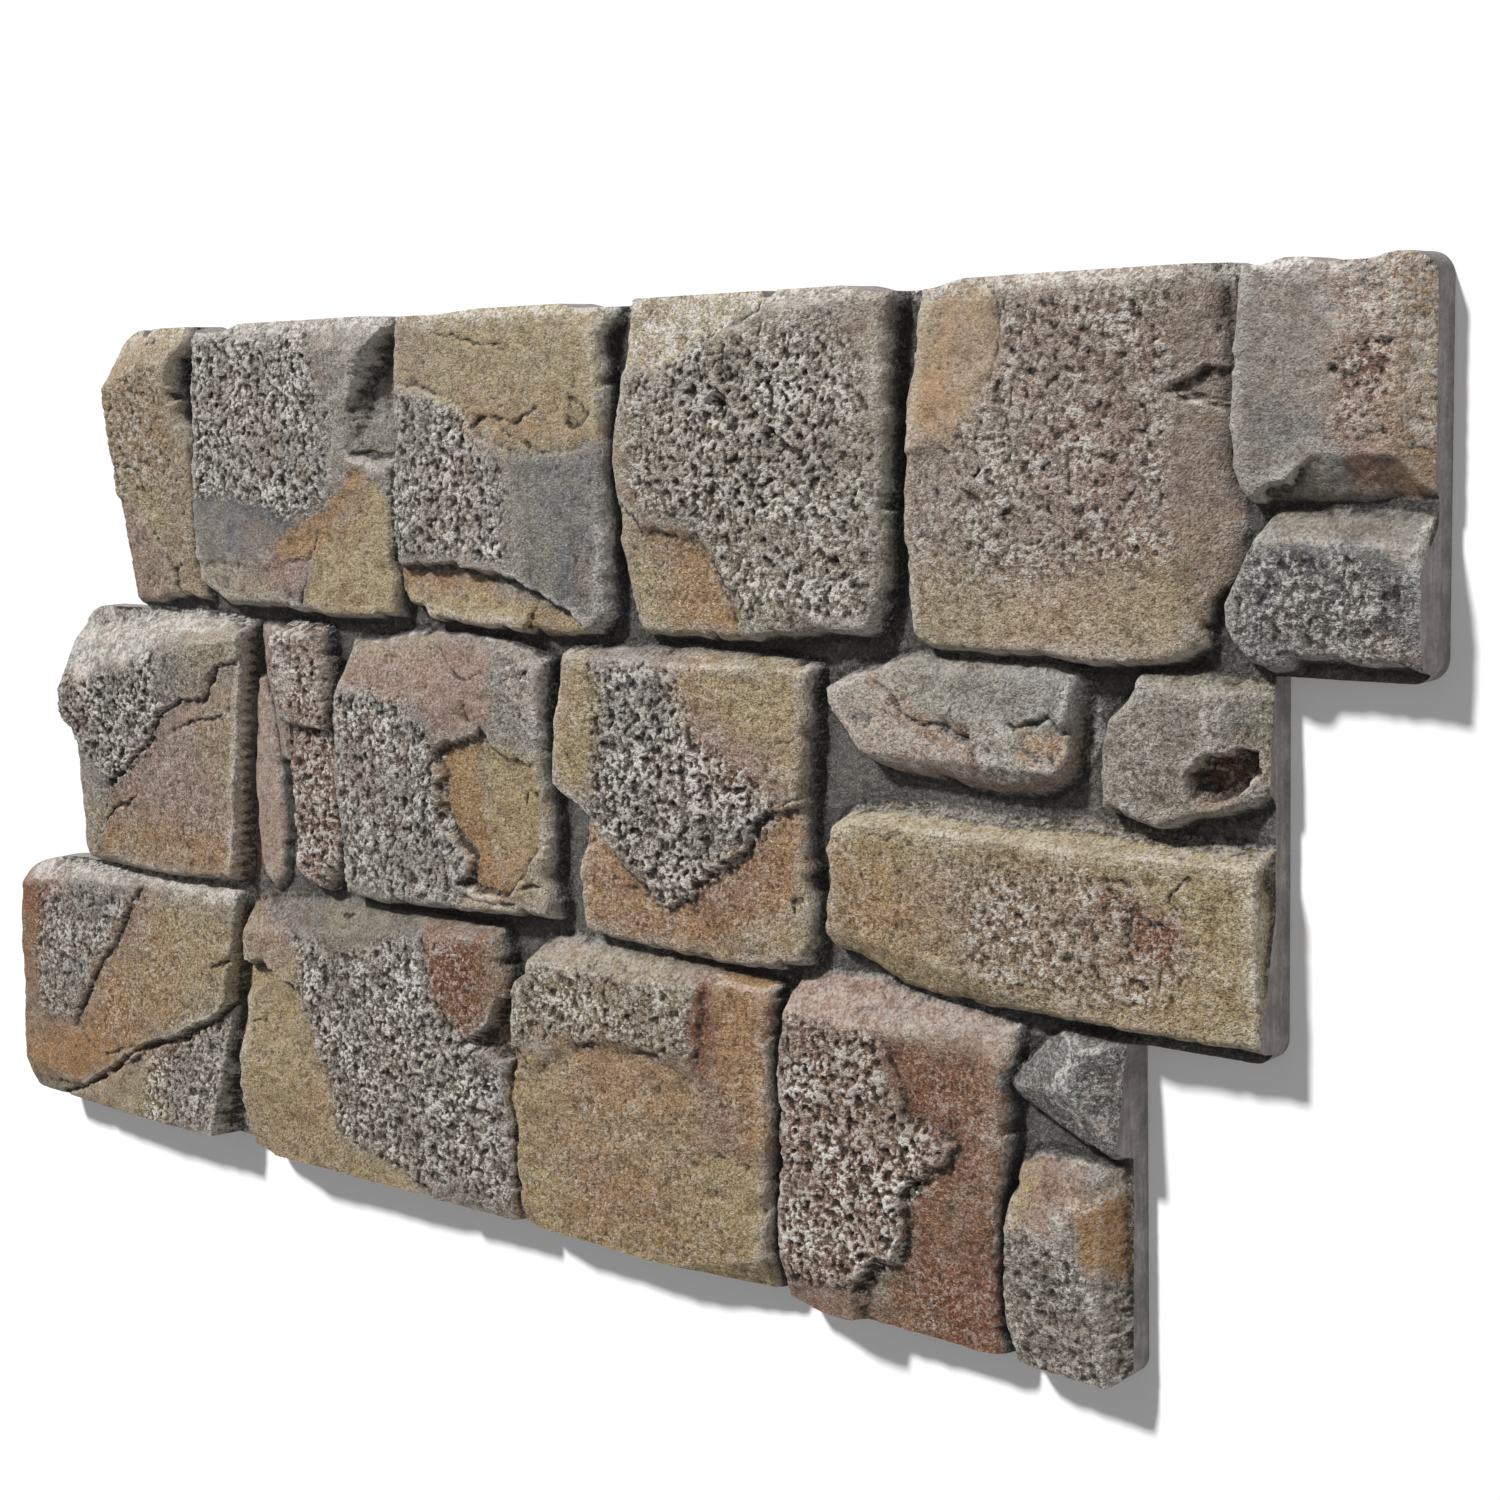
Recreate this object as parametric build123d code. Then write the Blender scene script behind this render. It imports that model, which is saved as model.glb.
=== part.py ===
from build123d import *
import os

# Faux stone wall panel: one board of rigid foam, moulded in one piece.
# It lies on its back, face up. X runs along the courses, Y up the wall,
# Z out of the face. The origin is the centre of the flat back face.

# Courses, from the foot of the panel to its head
course_length = 1030.0
course_step = 85.0
bottom_course = 193.0
middle_course = 202.0
top_course = 205.0

# Section through the board
joint_floor = 15.0
stone_proud = 18.0
crest = 1.67
foot_sink = 5.0
edge_corner = 12.0

# Joints and the sides of the stones
bed_joint = 5.0
upright_joint = 4.0
bottom_joint_rise = 5.0
middle_joint_rise = 1.5
stone_corner = 4.0
draft = 6.0
cleft_draft = 8.0
crack_width = 5.0
crack_draft = 4.0

# Stone widths in each course, joint centre to joint centre, left to right
bottom_widths = [271.0, 288.0, 228.0, 170.0, 73.0]
middle_widths = [240.0, 70.0, 211.0, 219.0, 187.0, 103.0]
top_widths = [85.0, 212.0, 201.0, 221.0, 208.0, 103.0]

# Places where two low stones share a course: height of the joint between them
bottom_pair_joint = 128.0
middle_pair_joint = 119.0
top_pair_joint = 86.0

courses = [bottom_course, middle_course, top_course]
panel_height = sum(courses)
panel_length = course_length + 2 * course_step
panel_depth = joint_floor + crest * stone_proud
left_end = -panel_length / 2
foot_edge = -panel_height / 2


class Cell:
    """The ground one stone stands on. A place in it is given as shares:
    across its width, up its height, and proud of the joint floor."""

    def __init__(self, left, right, low, high):
        self.left, self.right = left, right
        self.low, self.high = low, high

    def flat(self, across, up):
        x = self.left + across * (self.right - self.left)
        y = self.low + up * (self.high - self.low)
        return (x, y)

    def point(self, across, up, proud):
        return Vector(*self.flat(across, up), joint_floor + proud * stone_proud)

    def lower(self, height):
        return Cell(self.left, self.right, self.low, self.low + height - bed_joint)

    def upper(self, height):
        return Cell(self.left, self.right, self.low + height, self.high)


def course_cells(number, low, high, widths):
    """The cells of one course, with half a joint left free round each."""
    start = left_end + number * course_step
    fit = course_length / sum(widths)
    cells = []
    for place, width in enumerate(widths):
        left = start if place == 0 else start + upright_joint / 2
        end = start + width * fit
        last = place == len(widths) - 1
        cells.append(Cell(left, end if last else end - upright_joint / 2, low, high))
        start = end
    return cells


def outline(cell, shares, height, corner):
    """A face with rounded corners through the given places of a cell."""
    points = [cell.flat(across, up) for across, up in shares]
    face = make_face(Polyline(*points, close=True))
    if corner > 0:
        face = fillet(face.vertices(), corner)
    return Pos(0, 0, height) * face


def facet(cell, places):
    """The plane through three places of a cell, facing out of the panel."""
    a, b, c = [cell.point(*place) for place in places]
    normal = (b - a).cross(c - a)
    return Plane(a, z_dir=normal if normal.Z > 0 else -normal)


def trim(solid, plane):
    return split(solid, bisect_by=plane, keep=Keep.BOTTOM)


def cleft(cell, shares, floor):
    """The layer that has come away from part of a stone's face."""
    tool = extrude(outline(cell, shares, panel_depth, 0), -crest * stone_proud, taper=cleft_draft)
    return split(tool, bisect_by=facet(cell, floor), keep=Keep.TOP)


def crack(cell, shares, depth):
    """A narrow wedge that follows a line over the stone's face."""
    points = [cell.flat(across, up) for across, up in shares]
    line = trace(Polyline(*points), line_width=crack_width)
    floor = joint_floor + depth * stone_proud
    return extrude(Pos(0, 0, panel_depth) * line, floor - panel_depth, taper=crack_draft)


def stone(cell, shares, facets, clefts=(), cracks=()):
    """One stone: a drafted block with its facets trimmed, its face cleft to layers, then cracked."""
    foot = outline(cell, shares, joint_floor - foot_sink, stone_corner)
    block = extrude(foot, foot_sink + crest * stone_proud, taper=draft)
    for places in facets:
        block = trim(block, facet(cell, places))
    for area, floor in clefts:
        block -= cleft(cell, area, floor)
    for line, depth in cracks:
        block -= crack(cell, line, depth)
    return block


def top_bevel(width, foot=0.15, crown=1.0):
    """The sloped upper edge of a stone, as three places of its cell."""
    return [(0, 1, foot), (1, 1, foot), (0.5, 1 - width, crown)]


def bottom_stones():
    low = foot_edge
    high = foot_edge + bottom_course + bottom_joint_rise - bed_joint / 2
    first, second, third, fourth, pair = course_cells(0, low, high, bottom_widths)
    long_cracked = stone(
        first,
        [(-0.1, -0.1), (0.9, -0.1), (0.95, 0.35), (0.99, 0.6), (1, 0.95), (0.97, 1), (-0.1, 1)],
        [
            [(0, 0.14, 1.2), (0.3, 0, 1.1), (0, 0, 0.95)],
            [(0, 0.3, 1.22), (0, 0.8, 1.17), (0.75, 0.5, 1.17)],
            [(0, 0.87, 1.1), (0.02, 0.93, 0.7), (0.22, 0.9, 1.17)],
            top_bevel(0.11, 0.35, 1.2),
            [(0.93, 0.36, 0.95), (0.89, 0.02, 0.95), (0.97, 0.16, 0.25)],
        ],
        [
            (
                [(0.25, 0.34), (0.4, 0.62), (0.57, 0.96), (1.1, 1.1), (1.1, 0.6), (0.55, 0.3)],
                [(0.25, 0.3, 1.2), (0.53, 0.78, 0.9), (0.9, 0.57, 1.05)],
            ),
            (
                [(0.1, -0.1), (0.35, 0.13), (0.56, 0.3), (0.78, 0.42), (1.1, 0.64), (1.1, -0.1)],
                [(0.22, 0, 1.0), (0.86, 0.42, 0.72), (0.86, 0.05, 0.9)],
            ),
        ],
        [
            ([(0.24, 0.35), (0.38, 0.62), (0.47, 0.74), (0.57, 0.95)], 0.6),
            ([(0.12, -0.02), (0.33, 0.12), (0.55, 0.3), (0.72, 0.36), (0.9, 0.5), (1.03, 0.64)], 0.5),
        ],
    )
    broad_rough = stone(
        second,
        [(0, -0.1), (1.01, -0.1), (1.01, 0.9), (0.98, 1), (0.02, 1), (-0.01, 0.9)],
        [
            [(0.01, 0.52, 1.0), (0.44, 0.52, 1.17), (0.37, 0.16, 1.17)],
            [(0.44, 0.52, 1.17), (0.99, 0.41, 1.0), (0.72, 0.78, 1.1)],
            [(0.26, 0.85, 1.12), (0.69, 0.93, 1.1), (0.45, 1, 0.35)],
            [(0, 0.13, 0.95), (0.08, 0, 0.95), (0.01, 0, 0.4)],
        ],
        [
            (
                [(-0.1, -0.1), (0.6, -0.1), (0.62, 0.07), (0.4, 0.17), (0.37, 0.38), (0.28, 0.55),
                 (0.26, 0.67), (-0.1, 0.69)],
                [(0, 0.58, 0.74), (0, 0.08, 1.08), (0.44, 0.1, 0.95)],
            ),
            (
                [(0.87, 0.61), (0.93, 0.68), (0.97, 0.8), (1.1, 0.8), (1.1, 0.61)],
                [(0.87, 0.6, 0.45), (1, 0.6, 0.35), (1, 0.8, 0.4)],
            ),
        ],
    )
    banded = stone(
        third,
        [(0, -0.1), (1, -0.1), (1.01, 0.5), (1.01, 0.98), (0.15, 1), (0.08, 0.9), (0, 0.84)],
        [
            [(0, 0.3, 1.03), (0.62, 0.3, 1.1), (0.25, 0.77, 1.17)],
            [(0.73, 0.77, 1.1), (1, 0.62, 0.95), (0.94, 0.3, 1.0)],
            [(0.12, 1, 0.45), (0.62, 1, 0.45), (0.35, 0.93, 1.15)],
            [(0.62, 0, 1.05), (0.96, 0.11, 1.05), (0.82, 0, 0.5)],
        ],
        [
            (
                [(-0.1, -0.1), (-0.1, 0.52), (0.12, 0.62), (0.5, 0.7), (0.74, 0.68), (0.76, 1.1),
                 (1.1, 1.1), (1.1, -0.1)],
                [(0, 0.31, 0.95), (0.35, 0.65, 0.92), (0.94, 0.52, 0.95)],
            ),
        ],
    )
    pitted = stone(
        fourth,
        [(0, -0.1), (0.97, -0.1), (0.97, 0.35), (1.02, 0.7), (1.02, 0.98), (0.5, 1.01), (0.04, 1),
         (0, 0.8), (0.02, 0.5)],
        [
            [(0.03, 0.52, 1.08), (0.55, 0.52, 1.17), (0.25, 0.16, 1.17)],
            [(0.06, 1, 0.45), (0.48, 1.04, 0.45), (0.28, 0.92, 1.17)],
            [(0.54, 1.02, 0.5), (1, 1, 0.5), (0.72, 0.91, 1.0)],
            [(0, 0.13, 1.0), (0.13, 0, 1.0), (0.01, 0, 0.45)],
        ],
        [
            (
                [(0.4, -0.1), (0.42, 0.17), (0.58, 0.24), (0.59, 0.46), (0.8, 0.6), (0.56, 0.76),
                 (0.5, 1.1), (1.1, 1.1), (1.1, -0.1)],
                [(0.6, 0.36, 0.78), (0.96, 0.52, 0.86), (0.66, 0.88, 0.95)],
            ),
        ],
    )
    ridged = stone(
        pair.upper(bottom_pair_joint),
        [(-0.04, 0.5), (0.35, 0.08), (0.7, 0), (1.2, 0), (1.2, 1), (0.4, 1), (0.12, 0.75)],
        [
            [(0, 0.5, 0.7), (0.45, 1, 0.9), (0.6, 0.5, 1.2)],
            [(0.4, 0, 0.2), (0, 0.6, 0.4), (0.55, 0.45, 1.1)],
            [(1, 0, 0.75), (1, 1, 0.75), (0.6, 0.5, 1.2)],
        ],
    )
    speckled = stone(
        pair.lower(bottom_pair_joint),
        [(-0.1, -0.2), (1.2, -0.2), (1.2, 1), (0.2, 1), (-0.04, 0.9), (-0.1, 0.5)],
        [
            [(-0.04, 0.3, 1.0), (0.78, 0.3, 1.05), (0.36, 0.67, 1.22)],
            [(0.07, 0.92, 0.6), (0.57, 0.98, 0.67), (0.36, 0.7, 1.22)],
            [(0.57, 0.8, 1.15), (1, 0.88, 0.5), (1, 0.5, 0.65)],
            [(0.83, 0.5, 0.95), (0.86, 0.1, 0.95), (1, 0.3, 0.1)],
        ],
    )
    return [long_cracked, broad_rough, banded, pitted, ridged, speckled]


def middle_stones():
    low = foot_edge + bottom_course + bottom_joint_rise + bed_joint / 2
    high = foot_edge + bottom_course + middle_course + middle_joint_rise - bed_joint / 2
    cells = course_cells(1, low, high, middle_widths)
    first, second, third, fourth, fifth, sixth = cells
    bossed = stone(
        first,
        [(-0.1, 0), (0.85, 0), (0.88, 0.3), (0.91, 0.6), (0.95, 0.93), (0.93, 1), (-0.1, 1)],
        [
            [(0.92, 0.97, 1.0), (0.83, 0.22, 1.0), (0.96, 0.61, 0.22)],
            [(0, 0.74, 1.67), (0, 0.92, 0.0), (0.67, 0.92, 1.22)],
            [(0, 0.99, 0.0), (0.4, 0.99, 0.4), (0.4, 0.84, 1.33)],
            [(0.49, 0.88, 1.28), (0.9, 0.96, 1.05), (0.7, 1, 0.5)],
        ],
        [
            (
                [(-0.1, 1.1), (-0.1, 0.56), (0.16, 0.28), (0.3, 0.35), (0.48, 0.5), (0.53, 0.6), (0.75, 0.67),
                 (0.83, 0.8), (1.1, 0.88), (1.1, 1.1)],
                [(0, 0.7, 1.67), (0.7, 0.77, 1.22), (0.2, 0.31, 1.11)],
            ),
            (
                [(0.05, -0.1), (0.05, 0.04), (0.18, 0.31), (0.27, 0.38), (0.45, 0.52), (0.5, 0.62),
                 (0.73, 0.69), (0.81, 0.82), (1.1, 0.9), (1.1, -0.1)],
                [(0.1, 0.2, 0.95), (0.87, 0.79, 1.08), (0.8, 0.09, 1.1)],
            ),
            (
                [(-0.1, -0.1), (-0.1, 0.6), (0, 0.56), (0.08, 0.4), (0.18, 0.31), (0.05, 0.04), (0.05, -0.1)],
                [(0.02, 0.4, 0.75), (0.16, 0.32, 0.8), (0.05, 0.1, 0.7)],
            ),
        ],
        [
            ([(0.05, 0.04), (0.2, 0.31), (0.45, 0.52), (0.5, 0.62), (0.73, 0.69), (0.81, 0.82), (0.9, 0.85)],
             0.6),
        ],
    )
    sliver = stone(
        second,
        [(-0.28, 0.1), (-0.1, 0.02), (0.06, 0.04), (0.18, 0.12), (0.2, 0.38), (-0.08, 0.43), (-0.34, 0.33)],
        [[(-0.3, 0.43, 0.5), (0.2, 0.43, 0.6), (-0.05, 0, 0.45)]],
    )
    upright = stone(
        second,
        [(0.28, 0.06), (0.6, 0), (1.02, 0.03), (1.03, 0.5), (0.97, 0.98), (0.6, 1), (-0.05, 1),
         (-0.05, 0.48), (0.28, 0.44)],
        [
            [(0.3, 0.92, 1.22), (0.9, 0.92, 1.1), (0.55, 0.62, 1.27)],
            [(0.3, 0.85, 1.0), (0.09, 0.85, 0.6), (0.3, 0.3, 0.72)],
        ],
        [
            (
                [(-0.3, -0.1), (-0.3, 0.55), (0.3, 0.62), (1.3, 0.6), (1.3, -0.1)],
                [(0.25, 0.5, 0.9), (1, 0.5, 0.8), (0.6, 0.05, 0.85)],
            ),
        ],
    )
    scalloped = stone(
        third,
        [(0, 0), (1, 0.03), (1.01, 0.3), (1, 0.96), (0.45, 0.99), (0.07, 0.95), (0.01, 0.75), (0, 0.4)],
        [
            [(0, 0.5, 1.0), (0.5, 0.5, 1.2), (0.02, 0.07, 1.0)],
            [(0.6, 0.5, 1.17), (1, 0.5, 1.0), (0.8, 0.88, 1.05)],
            [(0, 0.77, 1.0), (0.42, 0.75, 1.17), (0.3, 0.99, 0.5)],
        ],
        [
            (
                [(0.51, 0.6), (0.58, 0.64), (0.73, 0.7), (0.82, 0.62), (1.1, 0.56), (1.1, 0.28), (0.9, 0.2),
                 (0.8, 0.1), (0.6, 0.12), (0.66, 0.21), (0.55, 0.35), (0.52, 0.46)],
                [(0.54, 0.47, 0.75), (0.94, 0.47, 0.89), (0.71, 0.12, 0.78)],
            ),
        ],
    )
    wedge_layered = stone(
        fourth,
        [(0.1, 0), (0.9, 0), (0.99, 0.06), (1, 0.5), (1, 0.98), (0.5, 1.01), (0.04, 0.99), (0, 0.7),
         (-0.02, 0.5), (0.06, 0.38), (0.06, 0.15)],
        [
            [(0.03, 0.74, 1.03), (0.43, 0.53, 1.14), (0.43, 0.9, 1.06)],
            [(0.43, 0.53, 1.14), (0.97, 0.53, 0.97), (0.71, 0.95, 1.0)],
            top_bevel(0.06, 0.5, 1.08),
        ],
        [
            (
                [(-0.1, -0.1), (-0.1, 0.58), (0.17, 0.43), (0.3, 0.3), (0.46, 0.18), (0.58, 0.24),
                 (0.74, 0.38), (0.79, 0.5), (1.1, 0.62), (1.1, -0.1)],
                [(0.19, 0.17, 0.8), (0.52, 0.09, 0.89), (0.94, 0.32, 0.86)],
            ),
            (
                [(-0.1, -0.1), (-0.1, 0.58), (0.06, 0.49), (0.13, 0.3), (0.16, -0.1)],
                [(0.03, 0.05, 0.5), (0.03, 0.5, 0.4), (0.13, 0.25, 0.8)],
            ),
        ],
    )
    flat_oval = stone(
        fifth.upper(middle_pair_joint),
        [(0, 0.74), (0.08, 0.5), (0.2, 0.16), (0.6, 0.03), (0.88, 0.08), (0.97, 0.4), (0.96, 0.9),
         (0.88, 1.02), (0.35, 1.01), (0.1, 0.88)],
        [
            [(0.05, 0.7, 0.9), (0.95, 0.7, 0.97), (0.5, 0.38, 1.12)],
            [(0.2, 0.93, 0.8), (0.85, 1.04, 0.6), (0.5, 0.78, 1.12)],
            [(0.24, 0.28, 1.0), (0.84, 0.22, 1.0), (0.52, 0.08, 0.6)],
            [(0.8, 0.9, 1.0), (0.84, 0.2, 1.0), (0.97, 0.6, 0.6)],
        ],
        [],
        [([(0.22, 0.85), (0.4, 0.55), (0.6, 0.5), (0.63, 0.3)], 0.65)],
    )
    hollowed = stone(
        sixth.upper(middle_pair_joint),
        [(0.02, -0.04), (0.35, -0.1), (0.78, 0), (1.2, 0.16), (1.2, 1), (0.35, 1.02), (0.2, 0.85),
         (0.06, 0.65)],
        [
            [(0.1, 0.42, 1.0), (0.24, 0.9, 1.0), (0.62, 0.42, 1.17)],
            [(0.68, 0.9, 1.1), (0.74, 0.28, 1.15), (1, 0.7, 0.3)],
            [(0.3, 1.02, 0.67), (1, 0.97, 0.4), (0.64, 0.88, 1.1)],
        ],
        [
            (
                [(0.58, 0.18), (0.62, 0.42), (0.74, 0.6), (0.95, 0.58), (0.92, 0.3)],
                [(0.6, 0.2, 0.12), (0.9, 0.3, 0.05), (0.7, 0.55, 0.25)],
            ),
        ],
    )
    long_low = stone(
        Cell(fifth.left, sixth.right, fifth.low, fifth.low + middle_pair_joint - bed_joint),
        [(0, 0.2), (0.12, 0.14), (0.2, 0), (1.05, 0), (1.05, 0.92), (0.1, 0.94), (0.02, 0.86)],
        [
            [(0.02, 0.45, 1.03), (0.6, 0.45, 1.17), (0.32, 0.75, 1.1)],
            [(0.6, 0.45, 1.17), (0.95, 0.27, 1.05), (0.88, 0.85, 1.05)],
            [(0.06, 0.94, 0.35), (0.98, 0.94, 0.35), (0.5, 0.84, 1.1)],
            [(0.03, 0.28, 0.95), (0.3, 0.14, 0.95), (0.12, 0.03, 0.45)],
        ],
    )
    return [bossed, sliver, upright, scalloped, wedge_layered, flat_oval, hollowed, long_low]


def top_stones():
    low = foot_edge + bottom_course + middle_course + middle_joint_rise + bed_joint / 2
    high = foot_edge + panel_height
    first, second, third, fourth, fifth, pair = course_cells(2, low, high, top_widths)
    leaning = stone(
        first,
        [(-0.2, 0), (1.02, 0), (0.99, 0.15), (1.04, 0.35), (1.04, 0.6), (0.9, 0.78), (1.04, 0.94),
         (1.06, 1.1), (-0.2, 1.1)],
        [
            [(0, 0.78, 1.6), (0, 0.34, 1.15), (0.96, 0.5, 1.05)],
            [(0.02, 0.79, 1.6), (0.01, 0.92, 0.56), (0.84, 1.0, 1.1)],
            [(0, 0.25, 1.0), (0.1, 0.01, 0.55), (0.98, 0.03, 0.95)],
        ],
    )
    split_faced = stone(
        second,
        [(0, 0.06), (0.06, 0.02), (0.6, 0), (1, 0), (1.01, 0.35), (1.02, 0.5), (1.02, 1.1), (0.03, 1.1),
         (0.03, 0.85), (0.01, 0.5)],
        [
            [(0, 0.5, 1.1), (1, 0.5, 1.17), (0.5, 0.95, 1.22)],
            [(0.03, 1, 0.72), (0.88, 1, 0.72), (0.45, 0.95, 1.2)],
        ],
        [
            (
                [(-0.1, 0.17), (0.4, 0.16), (0.5, 0.3), (0.66, 0.36), (0.77, 0.47), (0.9, 0.5),
                 (1.1, 0.5), (1.1, -0.1), (-0.1, -0.1)],
                [(0, 0.1, 0.88), (0.5, 0.06, 0.88), (0.95, 0.42, 1.08)],
            ),
            (
                [(0.83, 0.55), (0.91, 0.5), (1.1, 0.5), (1.1, 0.96), (1.0, 0.94), (0.93, 0.84), (0.86, 0.7)],
                [(0.85, 0.58, 0.75), (1, 0.58, 0.15), (0.95, 0.92, 0.05)],
            ),
        ],
    )
    square_faced = stone(
        third,
        [(-0.01, 0.08), (0.14, 0), (0.92, -0.02), (1.01, 0.04), (1.01, 0.95), (1.02, 1.1), (0.03, 1.1),
         (0.01, 0.7), (-0.03, 0.45)],
        [
            [(0.03, 0.8, 1.05), (0.03, 0.2, 1.11), (0.97, 0.5, 1.11)],
            [(0.87, 1, 0.89), (1, 1, 0.45), (0.98, 0.89, 1.0)],
            [(0.97, 0.1, 0.88), (0.97, 0.6, 0.9), (0.87, 0.5, 1.1)],
            [(0, 0.7, 0.6), (0, 0.52, 0.6), (0.05, 0.62, 1.05)],
        ],
        [
            (
                [(-0.1, 0.77), (0.15, 0.77), (0.36, 0.68), (0.42, 0.61), (0.54, 0.55), (0.67, 0.53),
                 (1.1, 0.57), (1.1, 1.2), (-0.1, 1.2)],
                [(0.05, 0.85, 0.89), (0.46, 0.95, 0.97), (0.95, 0.65, 1.03)],
            ),
            (
                [(-0.1, -0.1), (-0.1, 0.17), (0.35, 0.18), (0.6, 0.15), (0.87, 0.02), (0.9, -0.1)],
                [(0.02, 0.12, 0.72), (0.46, 0.02, 0.86), (0.77, 0.02, 0.8)],
            ),
        ],
    )
    deep_pitted = stone(
        fourth,
        [(0.05, 0), (0.6, -0.01), (0.93, 0.01), (0.98, 0.1), (0.99, 0.9), (1.01, 1.1), (0.1, 1.1),
         (0.03, 0.7), (0.01, 0.5), (0.02, 0.25)],
        [
            [(0.04, 0.6, 1.05), (0.13, 0.2, 1.05), (0.5, 0.55, 1.22)],
            [(0.5, 0.55, 1.22), (0.97, 0.95, 1.05), (0.97, 0.15, 1.05)],
            [(0.6, 1, 0.78), (1, 1, 0.78), (0.79, 0.96, 1.08)],
        ],
        [
            (
                [(-0.1, 0.78), (0.11, 0.79), (0.23, 0.78), (0.39, 0.86), (0.53, 0.91), (0.59, 0.95),
                 (0.62, 1.2), (-0.1, 1.2)],
                [(0.09, 1, 0.72), (0.55, 1, 0.83), (0.23, 0.78, 1.0)],
            ),
            (
                [(-0.1, -0.1), (-0.1, 0.4), (0.08, 0.33), (0.37, 0.28), (0.42, 0.15), (0.48, -0.1)],
                [(0.06, 0.2, 0.8), (0.32, 0.05, 0.89), (0.37, 0.25, 0.89)],
            ),
        ],
    )
    sloping = stone(
        fifth,
        [(0.03, 0), (0.7, -0.02), (0.9, 0.01), (0.94, 0.15), (1, 0.22), (1, 0.7), (0.97, 1.1),
         (0.05, 1.1), (0.03, 0.8), (0, 0.4)],
        [
            [(0.04, 0.2, 1.05), (0.04, 0.9, 1.05), (0.53, 0.5, 1.22)],
            [(0.84, 0.2, 1.11), (0.84, 0.68, 1.11), (0.96, 0.45, 0.4)],
            [(0.53, 0.5, 1.22), (0.9, 0.1, 1.0), (0.9, 0.9, 1.03)],
            top_bevel(0.04, 0.85, 1.15),
        ],
        [
            (
                [(-0.1, 0.54), (0.18, 0.58), (0.32, 0.76), (0.34, 1.1), (-0.1, 1.1)],
                [(0.04, 0.8, 0.94), (0.16, 0.95, 0.78), (0.26, 0.72, 1.0)],
            ),
        ],
    )
    bright_corner = stone(
        pair.upper(top_pair_joint),
        [(0, -0.02), (1.2, -0.02), (1.2, 1.2), (-0.02, 1.2), (-0.04, 0.5)],
        [
            [(0, 0.82, 1.11), (0, 0.14, 1.11), (0.5, 0.48, 1.17)],
            [(0.5, 0, 1.14), (0.5, 1, 1.14), (0.92, 0.5, 0.66)],
            [(0.05, 1, 0.9), (1, 1, 0.72), (0.5, 0.95, 1.11)],
        ],
        [
            (
                [(0.1, -0.1), (0.1, 0.02), (0.3, 0.08), (0.45, 0.22), (0.7, 0.18), (1.1, 0.16), (1.1, -0.1)],
                [(0.24, 0.02, 0.45), (0.64, 0.1, 0.6), (1, 0.06, 0.2)],
            ),
        ],
    )
    dark_low = stone(
        pair.lower(top_pair_joint),
        [(0.08, 0), (1.2, 0), (1.2, 0.98), (0.14, 1), (-0.03, 0.65), (-0.09, 0.35)],
        [
            [(0, 0.4, 1.05), (1, 0.4, 1.0), (0.5, 0.8, 1.11)],
            top_bevel(0.22, 0.3, 1.08),
        ],
    )
    return [leaning, split_faced, square_faced, deep_pitted, sloping, bright_corner, dark_low]


def stepped_board(thickness):
    """The three courses in plan, each one step to the right of the one below."""
    plan = Sketch()
    low = foot_edge
    for number, height in enumerate(courses):
        middle = left_end + number * course_step + course_length / 2
        course = Pos(middle, low + height / 2) * Rectangle(course_length, height)
        right_corners = course.vertices().sort_by(Axis.X)[-2:].sort_by(Axis.Y)
        rounded = right_corners[:1] if number < len(courses) - 1 else right_corners
        plan += fillet(rounded, edge_corner)
        low += height
    return extrude(plan, thickness)


def wall_panel():
    board = stepped_board(joint_floor)
    mould = stepped_board(panel_depth)
    for piece in bottom_stones() + middle_stones() + top_stones():
        board += piece & mould
    board.label = "wall_panel"
    return board


os.makedirs("parts", exist_ok=True)
export_step(wall_panel(), "parts/wall_panel.step")
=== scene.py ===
# %% [markdown]
# # A moulded stone wall panel
# The panel is one board of rigid foam, cast against a mould taken from real
# split stone and then painted by hand. Its look is relief first and paint second:
# three courses of stones, dark joints between them, cleft layers, cracks and a
# rough grain, with pale paint brushed over whatever stands highest.
# The whole face is one height for each place on the board, so it is worked out
# as arrays of heights over a grid, not sculpted piece by piece.

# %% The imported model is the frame
import math

import bpy
import numpy as np
from mathutils import Matrix, Vector


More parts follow.
